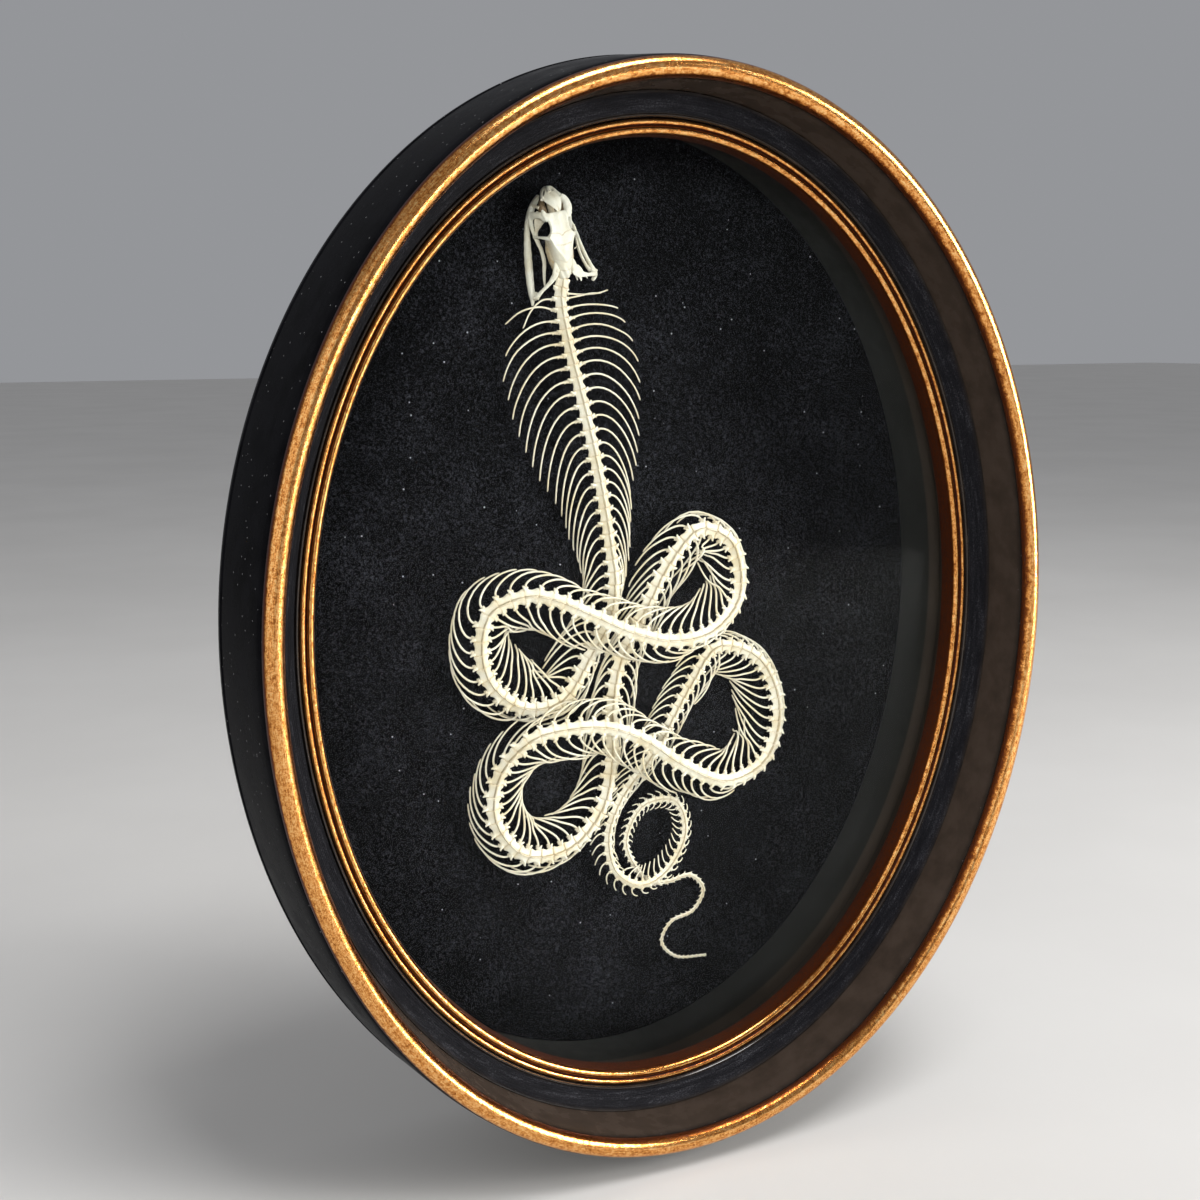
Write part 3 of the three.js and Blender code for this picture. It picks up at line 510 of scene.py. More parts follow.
# ---- spine
def centripetal(points):
    """A centripetal Catmull-Rom curve through the points."""
    points = np.asarray(points, float)
    out = []
    t = np.linspace(0, 1, CURVE_STEPS, endpoint=False)[:, None]
    for i in range(len(points) - 1):
        p1, p2 = points[i], points[i + 1]
        p0 = points[i - 1] if i else 2 * p1 - p2
        p3 = points[i + 2] if i + 2 < len(points) else 2 * p2 - p1
        d0, d1, d2 = (np.linalg.norm(b - a) ** 0.5 for a, b in ((p0, p1), (p1, p2), (p2, p3)))
        m1 = ((p1 - p0) / d0 - (p2 - p0) / (d0 + d1) + (p2 - p1) / d1) * d1
        m2 = ((p2 - p1) / d1 - (p3 - p1) / (d1 + d2) + (p3 - p2) / d2) * d1
        out.append((2 * t ** 3 - 3 * t ** 2 + 1) * p1 + (t ** 3 - 2 * t ** 2 + t) * m1
                   + (3 * t ** 2 - 2 * t ** 3) * p2 + (t ** 3 - t ** 2) * m2)
    out.append(points[-1:])
    return np.concatenate(out)


curve = centripetal([(x, VELVET_Y - h, z) for route in ROUTE.values() for x, z, h in route])
lengths = np.concatenate([[0], np.cumsum(np.linalg.norm(np.diff(curve, axis=0), axis=1))])
SPINE_LENGTH = lengths[-1]


def spine_at(s):
    s = np.clip(np.atleast_1d(s), 0, SPINE_LENGTH)
    return np.stack([np.interp(s, lengths, curve[:, i]) for i in range(3)], -1)


def frames_at(s):
    """Positions and the tail, up and left directions at distances along the spine."""
    s = np.clip(np.atleast_1d(np.asarray(s, float)), 0, SPINE_LENGTH)
    tail = spine_at(s + TANGENT_SPAN) - spine_at(s - TANGENT_SPAN)
    tail /= np.linalg.norm(tail, axis=1, keepdims=True)
    viewer = np.array([0.0, -1.0, 0.0])
    up = viewer - tail * (tail @ viewer)[:, None]
    up /= np.linalg.norm(up, axis=1, keepdims=True)
    return spine_at(s), tail, up, np.cross(tail, up)


# where each vertebra starts, and how high over the velvet its spine and ribs are
starts = [0.6]
while starts[-1] + read(PITCH, starts[-1]) < SPINE_LENGTH - 1:
    starts.append(starts[-1] + float(read(PITCH, starts[-1])))
starts = np.array(starts)
joint_at, _, _, joint_left = frames_at(starts)
turned = frames_at(starts + BEND_SPAN)[1] - frames_at(starts - BEND_SPAN)[1]
bends = np.einsum("ij,ij->i", turned, joint_left) / (2 * BEND_SPAN)
heights = VELVET_Y - joint_at[:, 1]
drops = np.clip(np.minimum(read(RIB_DROP, starts), heights - LOWEST_RIB), 0, None)
low_of = heights - drops - LEVEL_SPACE
high_of = heights + read(HALF_SPINE, starts) * 1.05 + LEVEL_SPACE

# the first ribs cross one another: [out, tailward] by vertebra and side
FIRST_RIBS = { (1, -1): [[3, 2.6], [10, 1.4], [18, -1.8], [25.5, -4.6]], (2, -1): [[3, 1.2], [9, -1.4],
                         [15, -5.6], [21.4, -7.6]], (2, 1): [[3, 1.2], [9.4, 1.7], [15.6, 5.6],
                         [20.2, 11.6]], (3, 1): [[3.2, 1.2], [11, -0.8], [20.5, 0.2], [28.6, 3.9]], }
FIRST_RIB_STEPS = 31
# the hood's front ribs: [distance, reach right, reach left, sweep right, sweep left]
HOOD = [[14.5, 28, 24, 3.2, 6], [19.7, 30.7, 28.2, 6.5, 9.5], [25, 33.1, 32, 12.5, 14],
        [30.6, 34, 31.4, 18, 17.5], [36.3, 32.8, 31.2, 22.4, 21.6], [46, 29.5, 29.5, 26.5, 26.5]]


def reach_and_sweep(s, side, inside, factor, detailed):
    """How far a rib goes out and tailward. inside is the spine's bend towards its side."""
    reach = read(RIB_REACH, s) * read(REACH_BY_BEND, inside) * factor
    sweep = read(RIB_SWEEP, s) * read(SWEEP_BY_BEND, inside)
    if inside < 0:
        reach *= read(OUTSIDE_REACH, s)
    if not detailed:
        return reach, sweep
    if s < HOOD_RIBS_END:
        # these were measured one by one, so the factor leaves them as they are
        hood, left = np.array(HOOD), int(side > 0)
        reach, sweep = (np.interp(s, hood[:, 0], hood[:, column + left]) for column in (1, 3))
    reach *= read(OUTSIDE_TRIM, s) if inside < 0 else 1 + read(INSIDE_GAIN, s) * read(GAIN_BY_BEND, inside)
    return reach, sweep


def rib_path(j, side, shares, factor, detailed=False):
    """Points on a rib, by its share from the vertebra to the tip. side is 1 for the snake's left.

    The plain path is the solids' own, and the detailed one follows the photo more closely."""
    s = starts[j]
    inside = side * bends[j]
    turn = RIB_TURN * shares
    reach, sweep = reach_and_sweep(s, side, inside, factor, detailed)
    pitch, half = read(PITCH, s), read(HALF_SPINE, s)
    steep, lowest = 0.0, LOWEST_RIB
    out = half * 1.3 + reach * np.sin(turn) / math.sin(RIB_TURN)
    back = pitch / 2 + sweep * (1 - np.cos(turn)) / (1 - math.cos(RIB_TURN))
    if detailed and (j, side) in FIRST_RIBS:
        askew = smooth_rows(FIRST_RIBS[j, side], FIRST_RIB_STEPS)
        out, back = (np.interp(shares, np.linspace(0, 1, FIRST_RIB_STEPS), askew[:, k]) for k in (0, 1))
    elif detailed:
        # a rib leaves its vertebra a little towards the head, and in the trunk its end runs on under the body
        trunk = float(share_of(s, 70, 130)) * float(share_of(s, 1150, 1060))
        arch = 6.75 * shares * (1 - shares) ** 2
        back += -pitch * 0.2 * (1 - shares) - (0.5 + 0.055 * reach) * arch + trunk * 7.5 * shares ** 2
        out += -0.12 * half * (1 - shares) - trunk * min(0.2 * reach, 2.4) * share_of(shares, 0.6, 1) ** 2
        # on the outer side of the right-hand bends the ribs go down steeply
        outward = side * (joint_left[j, 0] - read(STEEP_BELOW, s) * joint_left[j, 2])
        steep = trunk * float(share_of(-inside, 0, 0.02)) * float(share_of(outward, 0, 0.625))
        out -= 0.6 * steep * reach * shares
    at, _, _, left = frames_at(s + back)
    points = at + left * (side * out)[:, None]
    fall = drops[j] * shares ** (1.7 - 0.7 * steep)
    if detailed:
        fall = fall + 0.5 * half * (1 - shares) ** 2
        lowest = LOWEST_FINE_RIB
    points[:, 1] = np.minimum(at[:, 1] + fall, VELVET_Y - lowest)
    return points


def keeps_clear(j, points):
    """Whether points on a rib stay out of the strands that cross it at its own height."""
    gaps = np.hypot(points[:, None, 0] - joint_at[None, :, 0], points[:, None, 2] - joint_at[None, :, 2])
    own = np.abs(starts - starts[j]) < OWN_STRETCH
    level = (low_of < high_of[j]) & (low_of[j] < high_of) & ~own
    if not level.any():
        return True
    return bool(np.all(gaps[:, level].min(1) - gaps[:, own].min(1) > 2 * CLEARANCE))


def reach_factor(j, side):
    shares = np.array([0.5, 0.75, 1.0])
    for factor in np.arange(1.0, 0.15, -0.1):
        if keeps_clear(j, rib_path(j, side, shares, factor)):
            return float(factor)
    return 0.1


# half of a vertebra's section, from the top round to the keel: [across, height] in half widths
HALF_SECTION = [[0, 0.50], [0.34, 0.44], [0.72, 0.20], [1, 0.02], [0.90, -0.20], [0.56, -0.42],
                [0.30, -0.60], [0, -0.66]]
SECTION = np.array(HALF_SECTION + [[-x, y] for x, y in HALF_SECTION[-2:0:-1]])
# along a vertebra: [share of its pitch, width, rise, wear]
STATIONS = np.array([
    [-0.04, 0.86, -0.16, 0.8], [0.05, 1.10, -0.10, 0.4], [0.16, 1.20, -0.04, 0.1], [0.28, 1.04, 0.0, 0],
    [0.42, 0.86, 0.02, 0], [0.60, 0.80, 0.04, 0], [0.76, 0.90, 0.08, 0], [0.90, 1.04, 0.12, 0.1],
    [1.01, 1.0, 0.14, 0.4], [1.06, 0.84, 0.12, 0.8]])
# the neural spine: [share of the pitch, height]; then the painted shade across its blade, darker on its sides
# than on its top
CREST = np.array([[0.06, 0.62], [0.20, 0.98], [0.50, 1.14], [0.88, 1.18], [1.02, 0.98]])
CREST_SHADE = np.array([[0.9, 0.8, 0.25, 0.8, 0.9]])
# where the rib joins, as a share of the pitch, and how far out a wing ends with a rib and without one
FACET_AT, RIBBED_WING, BARE_WING = 0.17, 1.78, 1.6


def vertebra(skin, j, ribbed):
    s, pitch, half = starts[j], float(read(PITCH, starts[j])), float(read(HALF_SPINE, starts[j]))
    share, width, rise, wear = STATIONS.T
    at, tail, up, left = frames_at(s + share * pitch)
    broad = float(read(ARCH_BREADTH, s))
    in_hood = float(share_of(s, 170, 130))
    waist = 1 + (width - 1) * float(read(WAIST, s))
    across = SECTION[None, :, :1] * (waist * broad)[:, None, None]
    height = SECTION[None, :, 1:] + rise[:, None, None]
    # in the hood, the arch's half on the snake's right is darkened as painted shade
    skin.rings(at[:, None] + left[:, None] * across * half + up[:, None] * height * half,
               wear=wear[:, None] + 0.42 * in_hood * (SECTION[:, 0] < -0.2))

    # the blade's sides are darkened as painted shade, less so in the hood
    at, tail, up, left = frames_at(s + CREST[:, 0] * pitch)
    across = (0.12 * half + 0.06) * np.array([-1.5, -1, 0, 1, 1.5])
    tops = half * (CREST[:, 1:] * [0, 1, 1, 1, 0] + [0.36, 0, 0.05, 0, 0.36])
    skin.rings(at[:, None] + left[:, None] * across[None, :, None] + up[:, None] * tops[..., None],
               wear=CREST_SHADE * (1 - 0.45 * in_hood))

    at, tail, up, left = (vectors[0] for vectors in frames_at(s + FACET_AT * pitch))
    spread = max(1.0, broad / 1.26) if s > 130 else 1.0
    for side in (1, -1):
        # facet for the rib and the small wing in front of it
        facet = at + left * side * 1.3 * spread * half - up * 0.24 * half + tail * 0.1 * pitch
        skin.ball(facet, (left, up, tail), (0.40 * half, 0.34 * half, 0.42 * half), 8, 4, 0.3)
        if s < WINGS_END:
            reach = (RIBBED_WING if ribbed else BARE_WING) * spread
            out, high, back, thick = smooth_rows([[spread, 0.06, 0.02, 0.34],
                                                  [1.4 * spread, 0.04, -0.03, 0.28],
                                                  [reach - 0.12, 0, -0.10, 0.20],
                                                  [reach, -0.04, -0.17, 0.09]], 6).T
            path = at + np.outer(out * side * half, left) + np.outer(high * half, up)
            path = path + np.outer(back * pitch, tail)
            skin.tube(path, thick * half, thick * half, 6)
    return at, tail, up, left, half


# along a rib: [share, thickness, stain, which rises towards the tip as painted shade where the rib lies low
# by the velvet]
RIB_ROWS = np.array([
    [0, 1.75, 0.6], [0.035, 1.9, 0.5], [0.08, 1.2, 0.4], [0.14, 1.0, 0.26], [0.21, 0.96, 0.18],
    [0.29, 0.96, 0.14],
    [0.38, 0.96, 0.14], [0.47, 0.95, 0.14], [0.56, 0.93, 0.15], [0.65, 0.90, 0.17], [0.74, 0.86, 0.2],
    [0.82, 0.82, 0.24], [0.89, 0.80, 0.3], [0.95, 0.84, 0.38], [0.985, 0.74, 0.45], [1.0, 0.36, 0.45]])
RIB_SHARES, RIB_SWELL, RIB_STAIN_AND_SHADE = RIB_ROWS.T
RIB_MIDDLE = 8
# ribs whose middle lines come nearer than RIB_GAP would pass through one another
RIB_GAP, GAP_TOLERANCE, HIGHEST_LIFT, FARTHEST, LIFT_ROUNDS = 1.3, 0.02, 1.6, 32.0, 6
FINE_SHARES = np.linspace(0, 1, 64)
# a lift fades out along the rib, and starts behind its head
LIFT_SPREAD, LIFT_START = 0.22, 0.2
grown_ribs = []


def lay_over_others(path):
    """Raises a rib towards the viewer where it would pass through a rib made before it.

    Gives its finely divided middle line, and how far the rib was raised."""
    level = path[:, 1].copy()
    for _ in range(LIFT_ROUNDS):
        dense = np.stack([np.interp(FINE_SHARES, RIB_SHARES, path[:, i]) for i in range(3)], -1)
        if not grown_ribs:
            break
        made = np.concatenate(grown_ribs)
        made = made[np.abs(made - path[RIB_MIDDLE]).max(1) < FARTHEST]
        gap = made[None] - dense[:, None]
        clear = np.sqrt(np.clip(RIB_GAP ** 2 - gap[..., 0] ** 2 - gap[..., 2] ** 2, 0, None))
        touches = np.abs(gap[..., 1]) < clear - GAP_TOLERANCE
        lift = np.where(touches, clear - gap[..., 1], 0).max(1, initial=0)
        if not lift.any():
            break
        bell = np.exp(-((RIB_SHARES[:, None] - FINE_SHARES) / LIFT_SPREAD) ** 2)
        path[:, 1] -= (lift * bell).max(1) * np.clip(RIB_SHARES / LIFT_START, 0, 1)
    return dense, float((level - path[:, 1]).max())


def grow_rib(skin, j, side):
    s = starts[j]
    factor = reach_factor(j, side) * float(rng.uniform(0.97, 1.03))
    # a rib that would have to rise too far over the others is shortened
    for cut in (1.0, 0.9, 0.8, 0.7, 0.6):
        path = rib_path(j, side, RIB_SHARES, factor * cut, detailed=True)
        dense, lift = lay_over_others(path)
        if lift < HIGHEST_LIFT:
            break
    grown_ribs.append(dense)
    thick = float(read(RIB_THICK, s))
    # stained at the head, and darker towards the tip as painted shade where the rib lies low by the velvet
    stain_and_shade = RIB_STAIN_AND_SHADE * float(rng.uniform(0.6, 1.3))
    skin.tube(path, RIB_SWELL * thick, RIB_SWELL * thick * 1.08, 8, wear=stain_and_shade)
    if s < HOOKS_END:
        # the hook behind the rib's head
        near, tail = path[2], frames_at(s + 2)[1][0]
        hook = near + np.outer([0, 1.2, 2.5], tail) * thick
        half = np.array([1.3, 0.9, 0.3]) * thick
        skin.tube(hook, half, half, 6, wear=0.3)


def tail_point(skin, at, tail, up, left, half, side):
    """Behind the ribs, each tail vertebra has a short side point."""
    tip = at + left * side * half * 2.0 - up * half * 0.45 + tail * half * 0.9
    root = at + left * side * half * 0.8 - up * half * 0.2
    skin.tube([root, (root + tip) / 2 - tail * half * 0.15, tip], np.array([0.34, 0.26, 0.12]) * half,
              np.array([0.3, 0.22, 0.1]) * half, 6)


def build_body():
    waypoint, first = 0, 0
    for name, route in ROUTE.items():
        waypoint += len(route)
        end = waypoint * CURVE_STEPS
        last = int(np.searchsorted(starts, lengths[end])) if end < len(lengths) else len(starts)
        skin = Skin()
        for j in range(first, last):
            ribbed = j >= FIRST_RIB - 1 and starts[j] < RIB_END
            place = vertebra(skin, j, ribbed)
            for side in (1, -1):
                if ribbed and (j >= FIRST_RIB or (j, side) in FIRST_RIBS):
                    grow_rib(skin, j, side)
                elif starts[j] >= RIB_END and j < len(starts) - 2:
                    tail_point(skin, *place, side)
        skin.build("bones_" + name, BONE, "bone", name)
        first = last


# ---- skull
def skull_points(rows):
    """[forward, right, height above the velvet] in the skull's own directions to points."""
    forward, right, height = np.moveaxis(np.asarray(rows, float), -1, 0)
    x, z = SKULL_AT
    c, s = math.cos(SKULL_TURN), math.sin(SKULL_TURN)
    return np.stack([x - forward * s + right * c, VELVET_Y - height, z + forward * c + right * s], -1)


def bar(skin, rows, steps=20, sides=12, side=1, wear=0.0):
    """A bone from rows of [forward, outward, height, half width, half height], slightly uneven."""
    rows = smooth_rows(rows, steps)
    along = np.cumsum(np.linalg.norm(np.diff(rows[:, :3], axis=0, prepend=rows[:1, :3]), axis=1))
    phase = rows[0, 0] * 3.1 + rows[0, 1] * side
    rows[:, 3] *= 1 + 0.04 * np.sin(1.35 * along + phase) + 0.025 * np.sin(3.3 * along + 2 * phase)
    rows[:, 4] *= 1 + 0.05 * np.sin(1.9 * along + 1.7 * phase)
    rows[:, 1] *= side
    rows[:, 3:5] = np.maximum(rows[:, 3:5], 0.12)
    skin.tube(skull_points(rows[:, :3]), rows[:, 3], rows[:, 4], sides, wear=wear, power=0.9)


def teeth(skin, rows, count, length, lean, side=1):
    """Small cones that hang from a line of [forward, right, height], leaning back."""
    for forward, right, height in smooth_rows(rows, count):
        path = [[forward, right * side, height + 0.2],
                [forward - lean * 0.5, (right - 0.1) * side, height - length * 0.6],
                [forward - lean, (right - 0.25) * side, height - length]]
        skin.tube(skull_points(path), [0.26, 0.2, 0.06], [0.26, 0.2, 0.06], 6)


def lump(skin, forward, right, height, size, wear=0.2):
    """A small rounded boss."""
    skin.ball(skull_points([forward, right, height]), np.eye(3), np.broadcast_to(size, 3), 12, 8, wear)


def build_bone(skin, node, **look):
    skin.build("skull_" + node, SHADED_SKULL_BONE, "bone", node, **look)


def groove(distance, width):
    return np.exp(-(distance / width) ** 2)


# the braincase: [forward, half width, lowest, highest, half width of the flat roof, fullness of the shoulder]
BRAINCASE = [
    [-1.0, 2.6, 8.6, 11.6, 0.2, 2.0], [0.2, 3.3, 8.0, 12.8, 0.2, 2.0], [1.6, 3.8, 7.6, 13.8, 0.2, 2.0],
    [3.0, 4.3, 7.3, 14.5, 0.2, 1.9], [4.8, 4.9, 7.1, 15.2, 0.2, 1.9], [7.1, 5.5, 7.0, 16.0, 0.2, 1.8],
    [10.6, 6.0, 7.0, 16.6, 2.1, 1.75], [14.0, 6.3, 7.1, 17.0, 4.2, 1.8], [17.0, 6.8, 7.8, 17.3, 5.6, 2.0],
    [18.9, 7.2, 10.0, 17.5, 6.5, 2.2], [20.0, 6.2, 13.2, 17.4, 5.4, 2.4], [21.6, 5.2, 15.2, 17.3, 4.6, 2.4],
    [24.0, 4.9, 15.3, 17.1, 4.3, 2.4], [26.2, 5.3, 15.0, 16.9, 4.7, 2.4], [28.2, 6.1, 14.6, 16.5, 5.4, 2.2],
    [29.5, 5.9, 14.2, 16.0, 5.0, 2.2], [30.1, 5.0, 14.2, 15.4, 3.6, 2.0],
]
BRAINCASE_STEPS, BRAINCASE_SIDES = 170, 72
# the nasals: [forward, middle, half width, height, thickness]
NASALS = [[29.6, 1.5, 0.4, 15.4, 0.6], [31.2, 1.3, 1.4, 15.9, 1], [33.2, 0.8, 2.8, 15.8, 1.3],
          [35, 0.4, 4, 15.3, 1.5], [36.6, 0.25, 4.4, 14.6, 1.5], [38, 0.1, 3.6, 13.7, 1.4],
          [39.4, -0.1, 2.5, 12.6, 1.2], [40.7, -0.3, 1.3, 11.2, 0.8]]
NASAL_STEPS, NASAL_SIDES = 48, 40
# knobs on the right postorbital: [forward, right, height, size]
KNOBS = [[21.2, 8.5, 13.6, 0.8], [22.3, 8.1, 14.3, 0.65], [20.3, 8.9, 12.9, 0.7], [23.2, 7.6, 14.7, 0.45]]


def roof_seams(forward, x, a):
    """1 in the seams between the bones of the roof, at x or a = |x| from the middle."""
    return ((0.45 + 0.6 * groove(x, 1.8)) * groove(forward - (19.9 + 0.16 * a - 1.0 * groove(x, 1.0)), 0.20)
            + 0.6 * groove(forward - (14.5 + 0.12 * a + 0.12 * np.sin(5 * x)), 0.18) * (a < 4.2)
            + 0.35 * groove(forward - (6.0 + 0.62 * a), 0.25) * (a < 4.8)
            + 0.35 * groove(x, 0.16) * (forward > 21) + 0.5 * groove(forward - (2.2 + 0.3 * a), 0.22))


def braincase(skin):
    angle = 2 * np.pi * (np.arange(BRAINCASE_SIDES) + 0.5) / BRAINCASE_SIDES
    roof = np.sin(angle) > 0
    rings, tones = [], []
    for forward, wide, low, high, flat, full in smooth_rows(BRAINCASE, BRAINCASE_STEPS):
        x = wide * np.cos(angle)
        a = np.abs(x)
        middle = low + (high - low) * 0.42
        beyond = np.clip((a - flat) / max(wide - flat, 0.05), 0, 1)
        top = middle + (high - middle) * (1 - beyond ** full) ** (1 / full)
        bottom = middle - (middle - low) * np.sqrt(np.clip(1 - (x / wide) ** 2, 0, 1))
        h = np.where(roof, top, bottom)
        # the frontals' ridges, and the parietal's edges and hollow
        frontals = share_of(forward, 20.9, 21.7) * share_of(forward, 29.6, 28.8) * share_of(wide - a, 0, 0.6)
        ridges = 0.20 * groove(x, 0.4) - 0.20 * groove(a - 2.3, 1.2) + 0.12 * groove(a - 4.2, 0.6)
        h = h + roof * frontals * ridges
        parietal = share_of(forward, 18.9, 17.9) * share_of(forward, 6.0, 7.5)
        h = h + roof * parietal * (0.34 * groove(a - flat, 0.5) - 0.30 * groove(x, 1.6) * (forward > 14.8)
                                   + 0.35 * groove(x, 1.3) * (forward < 14.2))
        seams = roof_seams(forward, x, a)
        # the lumps at the back are where muscles held
        lumps = 0.25 * share_of(forward, 5.5, 2.5) * np.sin(2.3 * x + 1.1 * forward)
        h = h + roof * (lumps - 0.30 * seams)
        # the side walls behind the eyes and the underside are darkened as painted shade, and the seams
        # between the roof bones stained dark
        side = share_of(a, 0.76 * wide, 0.96 * wide) * share_of(forward, 19.5, 16.5)
        tone = np.where(roof, 0.6 * side + 1.4 * np.clip(seams, 0, 1), 0.95) + 0.12 * share_of(forward, 5, 1)
        rings.append(skull_points(np.stack([np.full(BRAINCASE_SIDES, forward), x, h], -1)))
        tones.append(tone)
    skin.rings(rings, wear=np.array(tones))


def nasals(skin):
    angle = 2 * np.pi * (np.arange(NASAL_SIDES) + 0.5) / NASAL_SIDES
    rings, tones = [], []
    for forward, middle, wide, high, thick in smooth_rows(NASALS, NASAL_STEPS):
        wide = max(wide, 0.25)
        x = wide * np.cos(angle)
        waves = 0.12 * np.sin(1.7 * x + 0.8 * forward)
        dome = high - 1.5 * (np.abs(x) / 4.4) ** 2.2 - 0.22 * groove(x, 0.3) + waves
        under = dome - thick * np.sqrt(np.clip(1 - (x / wide) ** 2, 0, 1)) - 0.15
        h = np.where(np.sin(angle) > 0, dome, under)
        rings.append(skull_points(np.stack([np.full(NASAL_SIDES, forward), x + middle, h], -1)))
        tones.append(0.9 * groove(x, 0.18) + 0.25 * np.clip(1 - (wide - np.abs(x)) / 0.5, 0, 1))
    skin.rings(rings, wear=np.array(tones))


def cranium_side(skin, side):
    # loops round the nostrils
    fat = 1.6 if side > 0 else 1.0
    bar(skin, [[41.7, 0.3, 8.8, 1, 1], [41.1, 1.9, 9.2, 0.8 * fat, 0.9], [39.8, 3.1, 10.1, 0.75 * fat, 0.9],
               [38.2, 3.9, 11.4, 0.8 * fat, 0.9], [36.6, 4.6, 12.8, 0.9 * fat, 0.9]], 24, 14, side)
    # the floor between the nasals and the prefrontals, dark as painted shade in its hollow
    bar(skin, [[29, 5, 12.6, 2.2, 1.2], [31.5, 5.2, 11.9, 2.1, 1.4], [34, 4.9, 11.3, 1.8, 1.4],
               [36.2, 4.2, 10.9, 1.2, 1.2]], 20, 16, side, 1.9)
    # prefrontal: a swollen lobe from the frontal's corner, with a broad leg down to the maxilla
    if side > 0:
        bar(skin, [[26.8, 5.2, 15.9, 1.1, 0.8], [28.6, 6, 15.4, 1.8, 1.3], [30.8, 6.8, 14.3, 2, 1.8],
                   [33.2, 7, 13.5, 1.8, 1.9], [35.2, 6.4, 13.1, 1.6, 1.6], [37, 5.1, 12.9, 1.1, 1.1]],
                   30, 20)
    else:
        bar(skin, [[26.6, 5.2, 15.8, 0.9, 0.8], [28.4, 5.8, 15.3, 1.4, 1.1], [30.2, 6.2, 14.6, 1.3, 1.1],
                   [31.8, 6.2, 13.8, 0.6, 0.8]], 22, 18, side)
    bar(skin, [[28.2, 5.2, 15, 2.3, 1.2], [29.6, 7, 13.2, 1.6, 1.2], [30.4, 8.7, 10.2, 1.4, 1.2],
               [30.4, 9.8, 7.6, 2.3, 1]], 20, 16, side, 0.05)
    bar(skin, [[33.2, 6.6, 12, 0.9, 0.9], [34.2, 7.4, 9.8, 0.7, 0.8], [35, 7.8, 7.8, 1, 0.8]],
               12, 12, side, 0.5)
    # postorbital bar behind the eye, knobby at its end
    bar(skin, [[18.4, 5.4, 16.7, 1.3, 0.8], [18.8, 7, 15.6, 1, 0.8], [19.4, 8.3, 13.6, 0.7, 0.7],
               [20, 9.3, 10.8, 0.55, 0.6], [20.4, 9.8, 8.2, 0.6, 0.6], [20.6, 9.9, 6.9, 0.9, 0.7]],
               24, 12, side)
    # the palatine's broad plate inside the orbit
    bar(skin, [[31.5, 4.8, 8.6, 2.4, 0.5], [28.8, 5.6, 8.2, 3.1, 0.5], [26.2, 7, 7.8, 2.1, 0.45],
               [23.6, 8.1, 7.2, 1, 0.4], [21.8, 8.5, 6.8, 0.5, 0.3]], 20, 12, side, 0.45)
    # supratemporal, laid along the back corner of the braincase
    bar(skin, [[7.8, 4.2, 13.2, 0.3, 0.2], [6.2, 4.6, 13.3, 1, 0.5], [4.2, 4.8, 13, 1.4, 0.7],
               [2.2, 5.2, 12.5, 1.6, 0.85], [0.8, 5.7, 11.9, 1.5, 0.8], [-0.6, 6.3, 11.1, 1, 0.6]],
               24, 14, side, 0.1)
    # bulges of the side wall and the wing above the ear, browned as painted shade
    bar(skin, [[18, 4.4, 11, 1.6, 1.6], [14, 5.2, 10.4, 1.6, 2.4], [9, 4.9, 10.4, 1.5, 2.5],
               [4, 3.9, 10.6, 1.4, 2.2], [0.4, 3, 10.2, 1, 1.2]], 20, 14, side, 1.0)
    lump(skin, 3.4, 4.3 * side, 12.8, (1.3, 1.1, 1.5))
    lump(skin, -0.2, 1.6 * side, 9.6, (1.5, 1.3, 1.4), 0.4)


def build_cranium():
    skin = Skin()
    braincase(skin)
    nasals(skin)
    # premaxilla with its upright, the septum under the frontals and the parasphenoid
    bar(skin, [[40.6, 0, 7.2, 2, 0.5], [41.6, 0, 8, 1.5, 0.7], [41.8, 0, 9.6, 0.9, 0.6],
               [41, -0.1, 11.4, 1.1, 0.5], [39.6, -0.1, 12.6, 0.9, 0.4]], 18)
    bar(skin, [[39, 0, 9.2, 1.2, 0.6], [33, 0, 9.6, 1.3, 2], [28, 0, 11.2, 1.1, 3], [24, 0, 12, 1, 3.2],
               [19, 0, 12, 1.6, 3]], 18, wear=0.7)
    bar(skin, [[30, 0, 8.6, 0.9, 0.5], [22, 0, 8.4, 1.5, 0.6], [16, 0, 7.6, 2.4, 0.8]], 12, wear=0.7)
    for side in (1, -1):
        cranium_side(skin, side)
    # knobs on the right postorbital, and a stray splinter at the parietal's right edge
    for knob in KNOBS:
        lump(skin, *knob)
    bar(skin, [[11.6, 6, 14.6, 0.25, 0.2], [12.3, 7.2, 14.8, 0.2, 0.2], [12.2, 8.2, 15, 0.15, 0.15]],
               6, 6, 1, 0.5)
    build_bone(skin, "cranium", sharp=60)


